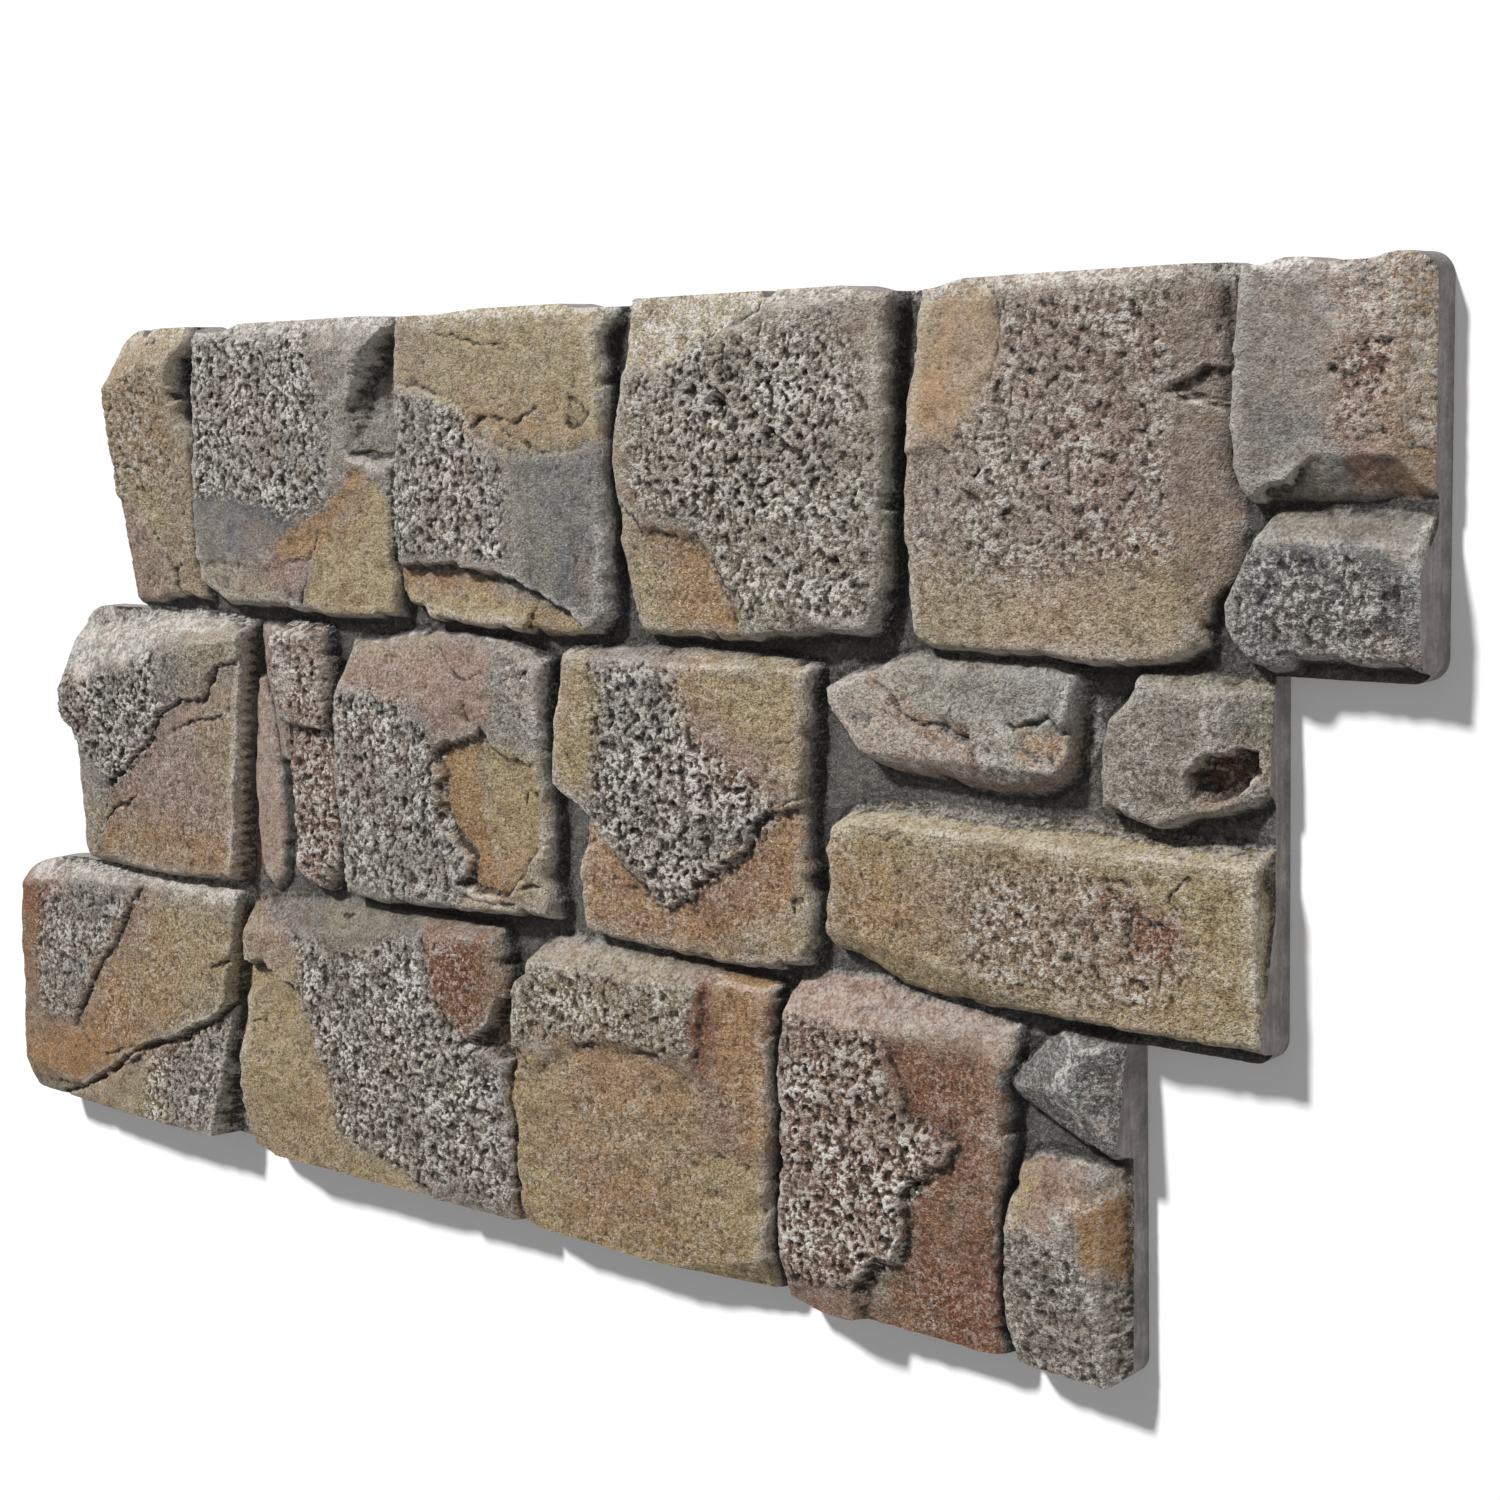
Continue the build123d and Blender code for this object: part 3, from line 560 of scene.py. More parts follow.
# %% Narrow upright stone
stone(
    "upright", 34,
    [(336, 384), (344, 391), (370, 391), (382, 387), (389, 360), (392, 320), (394, 280), (391, 235),
     (386, 217), (372, 204), (356, 207), (344, 214), (346, 250), (345, 280), (343, 300), (342, 330),
     (335, 352)],
    [
        [(345, 380, 37), (382, 380, 35), (360, 320, 38)],
        [(345, 391, 28), (380, 389, 28), (362, 384, 37)],
    ],
    clefts=[
        ([(330, 321), (352, 323), (366, 319), (380, 320), (405, 318), (405, 190), (330, 190)],
         [(347, 300, 31), (394, 300, 29), (370, 210, 30)], 3.0),
    ],
    cracks=[
        ([(348, 310), (345, 296), (352, 290)], 2.5, 3.5),
        ([(352, 366), (362, 360), (372, 352)], 2.0, 3.0),
    ],
    coats=[
        ("rose", 0.85, None, 1),
        ("rust", 0.4, None, 1),
        ("chalk_and_highlight", 0.9, [(342, 386), (352, 386), (350, 366), (360, 356), (352, 336), (358, 324), (344, 321),
                        (340, 350)], 3),
        ("ochre", 0.35, [(356, 390), (382, 386), (382, 370), (356, 372)], 6),
    ],
    rough=[(1.0, None, 4)],
)

# %% Stone with a scalloped cleft
stone(
    "scalloped", 34,
    [(412, 381), (406, 362), (399, 346), (395, 325), (394, 290), (395, 262), (398, 240), (400, 215),
     (401, 204), (440, 203), (500, 207), (540, 208), (575, 210), (602, 212), (603, 222), (598, 238),
     (601, 255), (602, 275), (600, 300), (598, 330), (598, 355), (601, 376), (590, 381), (560, 387),
     (530, 389), (490, 390), (465, 387), (440, 381)],
    [
        [(398, 300, 33), (500, 300, 36.5), (400, 220, 33)],
        [(520, 300, 36), (600, 300, 33), (560, 370, 34)],
        [(400, 347, 33), (484, 344, 36), (460, 387, 24)],
        [(500, 390, 28), (595, 380, 29), (550, 374, 34)],
    ],
    clefts=[
        ([(503, 316), (520, 320), (540, 325), (548, 332), (556, 322), (575, 314), (615, 310),
          (615, 256), (600, 256), (590, 246), (582, 236), (574, 226), (566, 220), (540, 221),
          (522, 225), (530, 232), (533, 243), (522, 252), (510, 262), (505, 270), (503, 285),
          (506, 297), (499, 305)],
         [(510, 290, 28.5), (590, 290, 31), (545, 225, 29)], 2.5),
    ],
    cracks=[
        ([(502, 382), (514, 372), (525, 364), (535, 362), (550, 370)], 1.5, 2.0),
        ([(488, 294), (500, 297)], 3.0, 3.5),
        ([(500, 312), (518, 320)], 3.0, 4.0),
        ([(584, 284), (588, 294), (596, 290)], 2.5, 3.0),
        ([(582, 366), (592, 371), (598, 376)], 2.0, 3.0),
        ([(574, 226), (590, 231), (604, 228)], 2.5, 3.0),
        ([(522, 219), (545, 215), (575, 217)], 2.5, 3.0),
        ([(530, 347), (538, 334)], 1.5, 2.5),
    ],
    coats=[
        ("rose", 0.75, [(404, 366), (440, 380), (500, 388), (556, 382), (556, 335), (510, 322), (486, 344),
                        (404, 350)], 7),
        ("tan", 0.5, [(418, 380), (500, 388), (500, 372), (430, 368)], 7),
        ("ochre", 1.0, [(503, 315), (540, 323), (549, 262), (562, 222), (530, 224), (534, 245),
                        (507, 270)], 7),
        ("tan", 0.95, [(545, 322), (600, 312), (602, 250), (576, 230), (550, 252)], 8),
        ("ochre", 0.6, [(540, 250), (590, 250), (572, 222), (530, 220)], 8),
        ("tan", 0.5, [(580, 240), (604, 256), (604, 212), (520, 208), (520, 220), (570, 222)], 4),
    ],
    rough=[
        (0.95, [(398, 346), (470, 348), (500, 320), (504, 280), (530, 243), (520, 210), (400, 206)], 6),
        (0.6, [(556, 388), (602, 380), (602, 322), (560, 322)], 8),
        (0.4, None, 4),
    ],
)

# %% Stone with a rough wedge-shaped layer
stone(
    "wedge_layered", 34,
    [(622, 384), (619, 365), (614, 345), (611, 320), (611, 300), (620, 291), (631, 278), (628, 262),
     (625, 245), (628, 228), (631, 213), (637, 206), (700, 203), (760, 202), (790, 204), (812, 210),
     (818, 225), (819, 245), (816, 270), (814, 300), (816, 335), (819, 355), (818, 372), (821, 384),
     (800, 388), (760, 389), (720, 390), (660, 387)],
    [
        [(615, 340, 33.5), (700, 300, 37.5), (700, 370, 35)],
        [(700, 300, 37.5), (815, 300, 33), (760, 380, 33.5)],
        [(625, 388, 27), (815, 388, 27), (720, 381, 34.5)],
        [(630, 330, 35), (720, 240, 35), (800, 310, 35)],
    ],
    clefts=[
        ([(590, 302), (612, 299), (645, 281), (660, 265), (680, 250), (700, 236), (706, 232),
          (728, 240), (735, 250), (745, 258), (762, 268), (773, 272), (776, 285), (786, 296),
          (799, 302), (835, 308), (835, 190), (590, 190)],
         [(650, 230, 29.5), (720, 215, 31), (810, 260, 30.5)], 2.5),
        ([(590, 300), (612, 298), (640, 282), (650, 268), (634, 262), (624, 240), (590, 240)],
         [(612, 290, 19), (626, 250, 19), (645, 275, 23)], 2.5),
        ([(730, 250), (740, 250), (738, 242), (729, 243)],
         [(730, 250, 30), (740, 250, 30), (735, 242, 30)], 2.0),
    ],
    cracks=[
        ([(796, 340), (808, 341), (820, 350)], 2.0, 3.0),
        ([(799, 302), (812, 308), (824, 318)], 2.5, 3.0),
        ([(712, 378), (722, 372)], 2.0, 2.5),
        ([(810, 238), (806, 245), (815, 250)], 2.5, 4.0),
        ([(645, 248), (680, 238), (703, 229), (700, 222)], 1.0, 2.0),
    ],
    coats=[
        ("tan", 0.85, [(618, 386), (645, 386), (655, 350), (648, 300), (612, 300), (611, 330)], 9),
        ("ochre", 0.65, [(708, 384), (740, 388), (772, 362), (745, 340), (722, 350)], 10),
        ("tan", 0.95, [(735, 388), (820, 386), (815, 308), (772, 328), (740, 358)], 10),
        ("rose", 0.7, [(742, 348), (800, 336), (800, 304), (756, 306), (735, 330)], 9),
        ("ochre", 0.9, [(706, 230), (745, 256), (773, 272), (800, 302), (816, 290), (812, 245), (760, 212),
                        (710, 208)], 7),
        ("rust", 0.55, [(728, 238), (772, 270), (790, 290), (780, 240), (740, 220)], 12),
        ("tan", 0.7, [(690, 202), (818, 212), (818, 262), (790, 240), (740, 214)], 10),
        ("ochre", 0.85, [(628, 272), (655, 268), (705, 231), (702, 210), (632, 212)], 7),
        ("rust", 0.55, [(642, 252), (684, 240), (668, 230), (642, 238)], 7),
        ("tan", 0.45, [(628, 240), (650, 225), (700, 206), (635, 206)], 9),
    ],
    rough=[
        (1.15, [(648, 376), (715, 378), (730, 345), (800, 302), (773, 272), (705, 232), (648, 282)], 9),
        (0.5, None, 4),
    ],
)

# %% Flat oval stone
stone(
    "flat_oval", 33,
    [(833, 373), (835, 365), (845, 356), (855, 345), (864, 336), (880, 331), (920, 327), (950, 324),
     (975, 326), (992, 333), (1003, 343), (1009, 360), (1009, 378), (1002, 389), (985, 395),
     (950, 396), (900, 395), (880, 390), (865, 384), (848, 380)],
    [
        [(840, 370, 31), (1000, 370, 32.5), (920, 345, 35)],
        [(860, 386, 29), (980, 396, 26), (920, 375, 35)],
        [(870, 338, 33), (980, 334, 33), (930, 322, 20)],
        [(1000, 380, 32), (998, 345, 32), (1012, 362, 20)],
    ],
    clefts=[
        ([(915, 363), (925, 362), (938, 358), (938, 350), (928, 349), (918, 354)],
         [(916, 362, 29), (937, 358, 29), (928, 350, 29)], 2.5),
        ([(972, 361), (985, 364), (998, 360), (998, 347), (988, 341), (976, 345), (970, 355)],
         [(975, 360, 31.5), (997, 358, 29), (985, 343, 31)], 2.5),
        ([(852, 360), (862, 362), (871, 358), (868, 352), (856, 353)],
         [(852, 360, 30), (871, 358, 31), (860, 352, 31)], 2.0),
    ],
    cracks=[
        ([(870, 381), (880, 373), (888, 367), (895, 361), (902, 358), (915, 359), (925, 354),
          (936, 351), (941, 344), (943, 334)], 3.5, 3.2),
        ([(960, 363), (968, 361), (978, 364), (988, 366), (996, 361), (1001, 360)], 4.0, 3.5),
        ([(866, 361), (880, 361)], 1.0, 2.0),
    ],
    coats=[
        ("rose", 0.5, [(833, 373), (880, 372), (900, 352), (940, 345), (940, 325), (833, 335)], 10),
        ("rust", 0.9, [(868, 386), (884, 378), (904, 363), (938, 357), (946, 335), (940, 332), (932, 347),
                       (900, 353), (884, 366), (866, 380)], 4),
        ("ochre", 0.75, [(972, 362), (1000, 359), (996, 341), (972, 343)], 5),
        ("rust", 0.5, [(866, 386), (892, 393), (884, 380)], 6),
        ("chalk_and_highlight", 0.4, None, 3),
        ("slate", 0.4, [(833, 420), (1010, 420), (1010, 356), (940, 366), (868, 392), (833, 392)], 8),
        ("rust", 0.5, [(850, 334), (980, 330), (1008, 350), (1015, 320), (850, 320)], 4),
        ("chalk_and_highlight", 0.5, [(945, 362), (975, 345), (985, 332), (945, 330)], 6),
    ],
    rough=[(0.6, [(940, 366), (1000, 345), (985, 330), (940, 330)], 6), (0.4, None, 4)],
)

# %% Stone with a hollow
stone(
    "hollowed", 33,
    [(1021, 322), (1021, 350), (1024, 368), (1036, 379), (1042, 390), (1050, 395), (1078, 394),
     (1095, 392), (1150, 389), (1150, 350), (1119, 340), (1106, 331), (1092, 325), (1078, 323),
     (1066, 319), (1055, 314), (1045, 317), (1030, 320)],
    [
        [(1025, 350, 33), (1040, 385, 33), (1078, 350, 36)],
        [(1082, 385, 35), (1087, 340, 36), (1122, 370, 19)],
        [(1045, 395, 27), (1120, 389, 22), (1080, 383, 35)],
    ],
    clefts=[
        ([(1075, 345), (1082, 352), (1092, 356), (1102, 358), (1110, 357), (1110, 346), (1105, 338),
          (1095, 332), (1082, 330), (1076, 336)],
         [(1078, 335, 23), (1105, 340, 17), (1095, 355, 19)], 2.5),
    ],
    cracks=[([(1076, 346), (1078, 335), (1074, 328)], 2.0, 2.5)],
    coats=[
        ("tan", 0.3, None, 2),
        ("slate", 0.25, None, 2),
        ("rust", 0.9, [(1076, 346), (1092, 356), (1110, 358), (1110, 344), (1100, 332), (1080, 328)], 4),
        ("chalk_and_highlight", 0.6, [(1078, 392), (1092, 388), (1125, 388), (1125, 382), (1094, 380), (1094, 360),
                        (1084, 355), (1080, 372)], 4),
        ("slate", 0.5, [(1092, 382), (1125, 382), (1125, 366), (1094, 366)], 5),
    ],
    rough=[(0.5, None, 4)],
)

# %% Long low stone
stone(
    "long_low", 34,
    [(836, 293), (832, 280), (834, 262), (832, 240), (829, 230), (834, 222), (850, 221), (866, 215),
     (880, 207), (920, 203), (1000, 204), (1100, 203), (1160, 203), (1160, 306), (1100, 304),
     (1060, 306), (1010, 309), (960, 306), (900, 308), (862, 307), (845, 300)],
    [
        [(835, 250, 33.5), (1000, 250, 36), (920, 280, 34.5)],
        [(1000, 250, 36), (1100, 230, 34), (1080, 290, 34)],
        [(1112, 290, 33), (1114, 215, 33), (1123, 250, 18)],
        [(845, 307, 21), (1110, 307, 21), (975, 297, 35)],
        [(836, 222, 26), (866, 216, 26), (850, 232, 34)],
    ],
    clefts=[
        ([(1036, 264), (1062, 263), (1070, 256), (1060, 243), (1048, 242), (1036, 250)],
         [(1036, 262, 33), (1066, 258, 33.5), (1050, 243, 33.5)], 3.0),
        ([(1112, 284), (1121, 282), (1122, 268), (1114, 268)],
         [(1112, 284, 24), (1122, 284, 20), (1114, 268, 25)], 2.5),
    ],
    cracks=[
        ([(1022, 283), (1030, 275), (1040, 266), (1050, 263), (1064, 261)], 2.5, 3.0),
        ([(1022, 284), (1035, 284), (1041, 280)], 2.0, 2.5),
        ([(1062, 276), (1068, 285), (1076, 291)], 1.8, 2.5),
        ([(868, 294), (880, 292), (890, 296)], 2.0, 3.5),
    ],
    coats=[
        ("tan", 0.95, None, 2),
        ("ochre", 0.65, [(832, 280), (900, 276), (905, 240), (880, 228), (832, 236)], 14),
        ("rose", 0.55, [(918, 288), (1025, 288), (1075, 245), (1010, 212), (930, 222), (905, 262)], 18),
        ("rust", 0.85, [(1024, 282), (1042, 268), (1066, 268), (1072, 256), (1060, 242), (1036, 244),
                        (1036, 262)], 6),
        ("chalk_and_highlight", 0.45, [(836, 310), (1125, 310), (1125, 298), (975, 298), (900, 290), (838, 292)], 4),
    ],
    rough=[
        (0.75, [(925, 282), (1020, 284), (1080, 245), (1050, 212), (930, 212)], 12),
        (0.5, None, 4),
    ],
)
print("stones so far:", len(stones))

# %% [markdown]
# ## The top course
# Seven stones, from the leaning end stone to the pair at the right end, where
# a stone with a bright broken corner stands over a dark one.

# %% Leaning stone at the left end
stone(
    "leaning", 33,
    [(130, 396), (178, 402), (196, 402), (212, 407), (230, 409), (252, 404), (246, 430), (249, 450),
     (253, 470), (253, 500), (251, 520), (243, 538), (240, 560), (243, 572), (256, 588), (258, 630),
     (130, 630)],
    [
        [(155, 556, 44), (166, 470, 36), (248, 500, 34)],
        [(235, 600, 35), (154, 558, 44), (181, 585, 25)],
        [(170, 450, 33), (182, 404, 25), (250, 408, 32)],
        [(215, 590, 37), (258, 590, 34), (235, 602, 31)],
    ],
    clefts=[
        ([(130, 484), (170, 480), (190, 472), (207, 450), (214, 436), (222, 424), (224, 390), (130, 390)],
         [(168, 475, 33.5), (180, 406, 24), (220, 412, 30)], 2.0),
    ],
    cracks=[
        ([(211, 590), (228, 590)], 2.5, 3.0),
        ([(150, 504), (176, 502), (200, 498)], 2.0, 3.0),
        ([(220, 424), (232, 430)], 1.5, 2.5),
    ],
    coats=[
        ("tan", 0.75, None, 2),
        ("ochre", 0.5, [(150, 560), (190, 585), (235, 570), (235, 500), (170, 500)], 14),
        ("rose", 0.95, [(130, 480), (190, 472), (214, 436), (222, 422), (222, 396), (130, 396)], 5),
        ("chalk_and_highlight", 0.6, [(130, 630), (200, 630), (204, 598), (176, 584), (152, 560)], 4),
        ("rose", 0.3, [(225, 500), (252, 520), (252, 410), (228, 412)], 8),
    ],
    rough=[(0.7, [(150, 560), (235, 580), (240, 480), (150, 480)], 8), (0.5, None, 4)],
)

# %% Stone with a rough upper layer, split off at its lower corner
stone(
    "split_faced", 34,
    [(259, 630), (265, 585), (262, 560), (260, 540), (257, 520), (254, 500), (253, 470), (253, 440),
     (254, 418), (264, 414), (282, 404), (340, 404), (370, 402), (400, 399), (440, 400), (462, 402),
     (465, 420), (465, 440), (467, 470), (468, 500), (470, 540), (470, 588), (474, 630)],
    [
        [(255, 500, 35), (465, 500, 36), (360, 590, 37)],
        [(262, 600, 29), (440, 600, 29), (350, 591, 36.5)],
        [(440, 582, 36), (472, 590, 31), (460, 600, 26)],
    ],
    clefts=[
        ([(240, 435), (300, 434), (330, 430), (350, 441), (352, 390), (240, 390)],
         [(255, 430, 32.5), (340, 430, 33), (300, 404, 30.5)], 1.6),
        ([(346, 436), (352, 448), (362, 459), (375, 463), (390, 463), (400, 480), (415, 492),
          (430, 500), (446, 500), (490, 498), (490, 390), (346, 390)],
         [(352, 430, 32), (400, 410, 31), (460, 450, 31.5)], 11.0),
        ([(430, 510), (446, 503), (490, 503), (490, 592), (468, 588), (455, 575), (443, 560),
          (436, 540), (431, 522)],
         [(434, 520, 31), (470, 516, 20), (456, 584, 18)], 5.0),
    ],
    cracks=[
        ([(392, 460), (388, 446), (378, 437), (352, 434)], 1.5, 3.0),
        ([(379, 428), (371, 416), (366, 404)], 2.0, 2.5),
        ([(430, 509), (446, 510), (458, 506)], 3.0, 3.5),
        ([(344, 408), (355, 404)], 1.5, 3.0),
        ([(407, 534), (413, 538)], 2.0, 3.0),
    ],
    coats=[
        ("slate", 0.8, [(250, 484), (250, 436), (325, 437), (350, 450), (372, 466), (310, 478)], 9),
        ("rose", 0.8, [(338, 434), (378, 438), (374, 418), (340, 410)], 8),
        ("ochre", 1.0, [(350, 450), (376, 463), (394, 463), (432, 499), (446, 492), (404, 456), (392, 438),
                        (352, 436)], 5),
        ("tan", 1.0, [(370, 400), (382, 428), (394, 446), (420, 474), (448, 492), (468, 475), (468, 398)], 6),
        ("ochre", 0.4, [(405, 458), (440, 488), (452, 478), (420, 450)], 7),
        ("tan", 0.35, [(250, 432), (340, 430), (345, 400), (250, 404)], 8),
        ("chalk_and_highlight", 0.6, [(255, 640), (480, 640), (480, 584), (440, 584), (400, 592), (300, 594),
                        (255, 592)], 4),
    ],
    rough=[
        (1.1, [(262, 592), (262, 482), (300, 480), (340, 472), (385, 466), (405, 484), (400, 560),
               (390, 592)], 9),
        (0.12, [(254, 474), (254, 440), (320, 440), (350, 455), (300, 478)], 10),
        (0.5, [(400, 592), (465, 592), (430, 500), (400, 484)], 10),
        (0.4, None, 4),
    ],
)

# %% Stone with clefts across its head and foot
stone(
    "square_faced", 34,
    [(479, 630), (477, 590), (474, 570), (472, 545), (474, 520), (472, 504), (464, 499), (462, 480),
     (465, 460), (468, 440), (470, 420), (478, 412), (492, 409), (498, 402), (520, 400), (560, 398),
     (600, 396), (625, 396), (650, 399), (661, 410), (663, 440), (663, 480), (664, 520), (663, 560),
     (662, 580), (670, 592), (674, 630)],
    [
        [(475, 560, 34), (475, 440, 35), (660, 500, 35)],
        [(640, 600, 31), (670, 600, 23), (661, 578, 33)],
        [(480, 600, 30), (640, 600, 30), (560, 593, 34.5)],
        [(470, 545, 25), (470, 508, 25), (481, 525, 34)],
        [(620, 480, 36), (664, 560, 32), (664, 430, 32)],
    ],
    clefts=[
        ([(465, 553), (500, 553), (520, 546), (540, 536), (552, 522), (575, 511), (600, 506),
          (640, 510), (690, 514), (690, 640), (460, 640)],
         [(480, 570, 31), (560, 590, 32.5), (655, 530, 33.5)], 2.5),
        ([(455, 437), (500, 436), (530, 438), (550, 434), (570, 431), (588, 429), (600, 422),
          (620, 415), (635, 410), (642, 403), (644, 385), (455, 385)],
         [(475, 425, 28), (560, 405, 30.5), (620, 405, 29.5)], 2.0),
        ([(597, 414), (612, 417), (630, 410), (640, 403), (640, 390), (588, 396)],
         [(600, 400, 26), (640, 400, 27), (615, 415, 27)], 2.0),
        ([(636, 543), (646, 543), (655, 533), (648, 525), (637, 523)],
         [(636, 543, 31), (655, 533, 30), (640, 523, 31)], 2.0),
    ],
    cracks=[
        ([(518, 586), (545, 582), (560, 578), (582, 577)], 2.0, 2.5),
        ([(549, 524), (556, 531), (570, 532), (590, 528), (612, 538)], 2.5, 3.0),
        ([(575, 524), (590, 519), (612, 510)], 1.5, 2.5),
        ([(473, 545), (480, 546)], 2.5, 3.0),
        ([(500, 486), (515, 485)], 2.5, 3.0),
    ],
    coats=[
        ("tan", 0.95, [(474, 600), (664, 610), (664, 515), (600, 508), (552, 524), (520, 548),
                       (474, 556)], 6),
        ("ochre", 0.45, [(540, 548), (625, 548), (640, 520), (590, 512), (552, 524)], 12),
        ("rose", 0.35, [(474, 596), (520, 592), (520, 556), (474, 556)], 10),
        ("ochre", 0.75, [(468, 434), (560, 432), (566, 416), (475, 416)], 6),
        ("tan", 0.95, [(474, 420), (600, 418), (642, 402), (640, 394), (480, 396)], 6),
        ("ochre", 0.4, [(598, 414), (640, 404), (640, 396), (590, 397)], 4),
        ("chalk_and_highlight", 0.6, [(636, 630), (680, 630), (680, 588), (660, 584), (645, 592)], 4),
        ("slate", 0.6, [(586, 505), (668, 512), (668, 405), (640, 404), (596, 424)], 12),
    ],
    rough=[
        (1.0, [(464, 545), (520, 546), (552, 520), (580, 500), (575, 440), (464, 440)], 8),
        (0.35, [(590, 505), (664, 510), (664, 410), (600, 425)], 12),
        (0.4, None, 4),
    ],
)

# %% Stone with the deepest pits
stone(
    "deep_pitted", 34,
    [(694, 630), (690, 592), (686, 570), (681, 545), (676, 525), (672, 505), (672, 485), (676, 472),
     (673, 455), (676, 440), (680, 425), (683, 408), (690, 400), (720, 400), (760, 400), (800, 402),
     (815, 405), (835, 408), (860, 406), (869, 409), (875, 425), (878, 440), (879, 485), (881, 520),
     (881, 560), (883, 585), (892, 630)],
    [
        [(680, 520, 34), (700, 440, 34), (780, 510, 37)],
        [(780, 510, 37), (880, 590, 34), (880, 430, 34)],
        [(800, 600, 29), (885, 600, 29), (840, 592, 34.5)],
        [(672, 440, 22), (684, 402, 22), (694, 440, 32)],
    ],
    clefts=[
        ([(660, 556), (682, 556), (695, 558), (720, 556), (740, 562), (755, 572), (770, 580),
          (785, 583), (797, 590), (804, 640), (660, 640)],
         [(690, 600, 28), (790, 600, 30), (720, 556, 33)], 2.5),
        ([(660, 480), (678, 478), (690, 470), (694, 463), (720, 462), (745, 457), (755, 445),
          (765, 430), (772, 412), (777, 385), (660, 385)],
         [(684, 440, 29.5), (740, 410, 31), (750, 450, 31)], 2.5),
        ([(755, 540), (764, 542), (772, 534), (768, 526), (757, 528)],
         [(755, 540, 31), (772, 536, 31), (760, 526, 31)], 3.0),
        ([(798, 524), (806, 522), (816, 512), (808, 507), (799, 512)],
         [(798, 524, 31), (816, 512, 31), (800, 507, 31)], 3.0),
        ([(766, 556), (778, 555), (780, 549), (768, 548)],
         [(766, 556, 32), (780, 553, 32), (770, 548, 32)], 2.5),
    ],
    cracks=[
        ([(797, 551), (804, 547)], 3.0, 3.5),
        ([(843, 448), (850, 446)], 2.5, 3.0),
        ([(812, 574), (822, 572)], 2.5, 3.0),
        ([(676, 478), (690, 468), (694, 458)], 3.0, 3.5),
    ],
    coats=[
        ("tan", 0.2, None, 2),
        ("tan", 0.9, [(684, 610), (804, 610), (798, 592), (755, 574), (738, 562), (684, 557)], 5),
        ("chalk_and_highlight", 0.95, [(684, 610), (804, 610), (798, 592), (755, 574), (738, 562), (684, 557)], 4),
        ("ochre", 1.0, [(694, 463), (745, 458), (772, 414), (772, 400), (720, 400)], 7),
        ("tan", 0.8, [(680, 455), (715, 445), (730, 400), (684, 402)], 8),
        ("tan", 0.5, [(672, 485), (694, 465), (686, 402), (672, 430)], 4),
        ("rust", 0.35, [(700, 456), (745, 455), (740, 440), (705, 440)], 8),
        ("rust", 0.45, [(868, 610), (900, 610), (890, 560), (878, 585)], 7),
        ("rose", 0.3, [(840, 590), (882, 590), (882, 520), (840, 530)], 12),
        ("chalk_and_highlight", 0.45, [(800, 630), (890, 630), (885, 595), (810, 594)], 3),
    ],
    rough=[
        (1.25, [(735, 570), (830, 565), (840, 500), (800, 470), (725, 480)], 14),
        (0.95, [(690, 550), (850, 590), (878, 500), (870, 412), (780, 404), (750, 460), (690, 480)], 12),
        (0.5, None, 4),
    ],
)

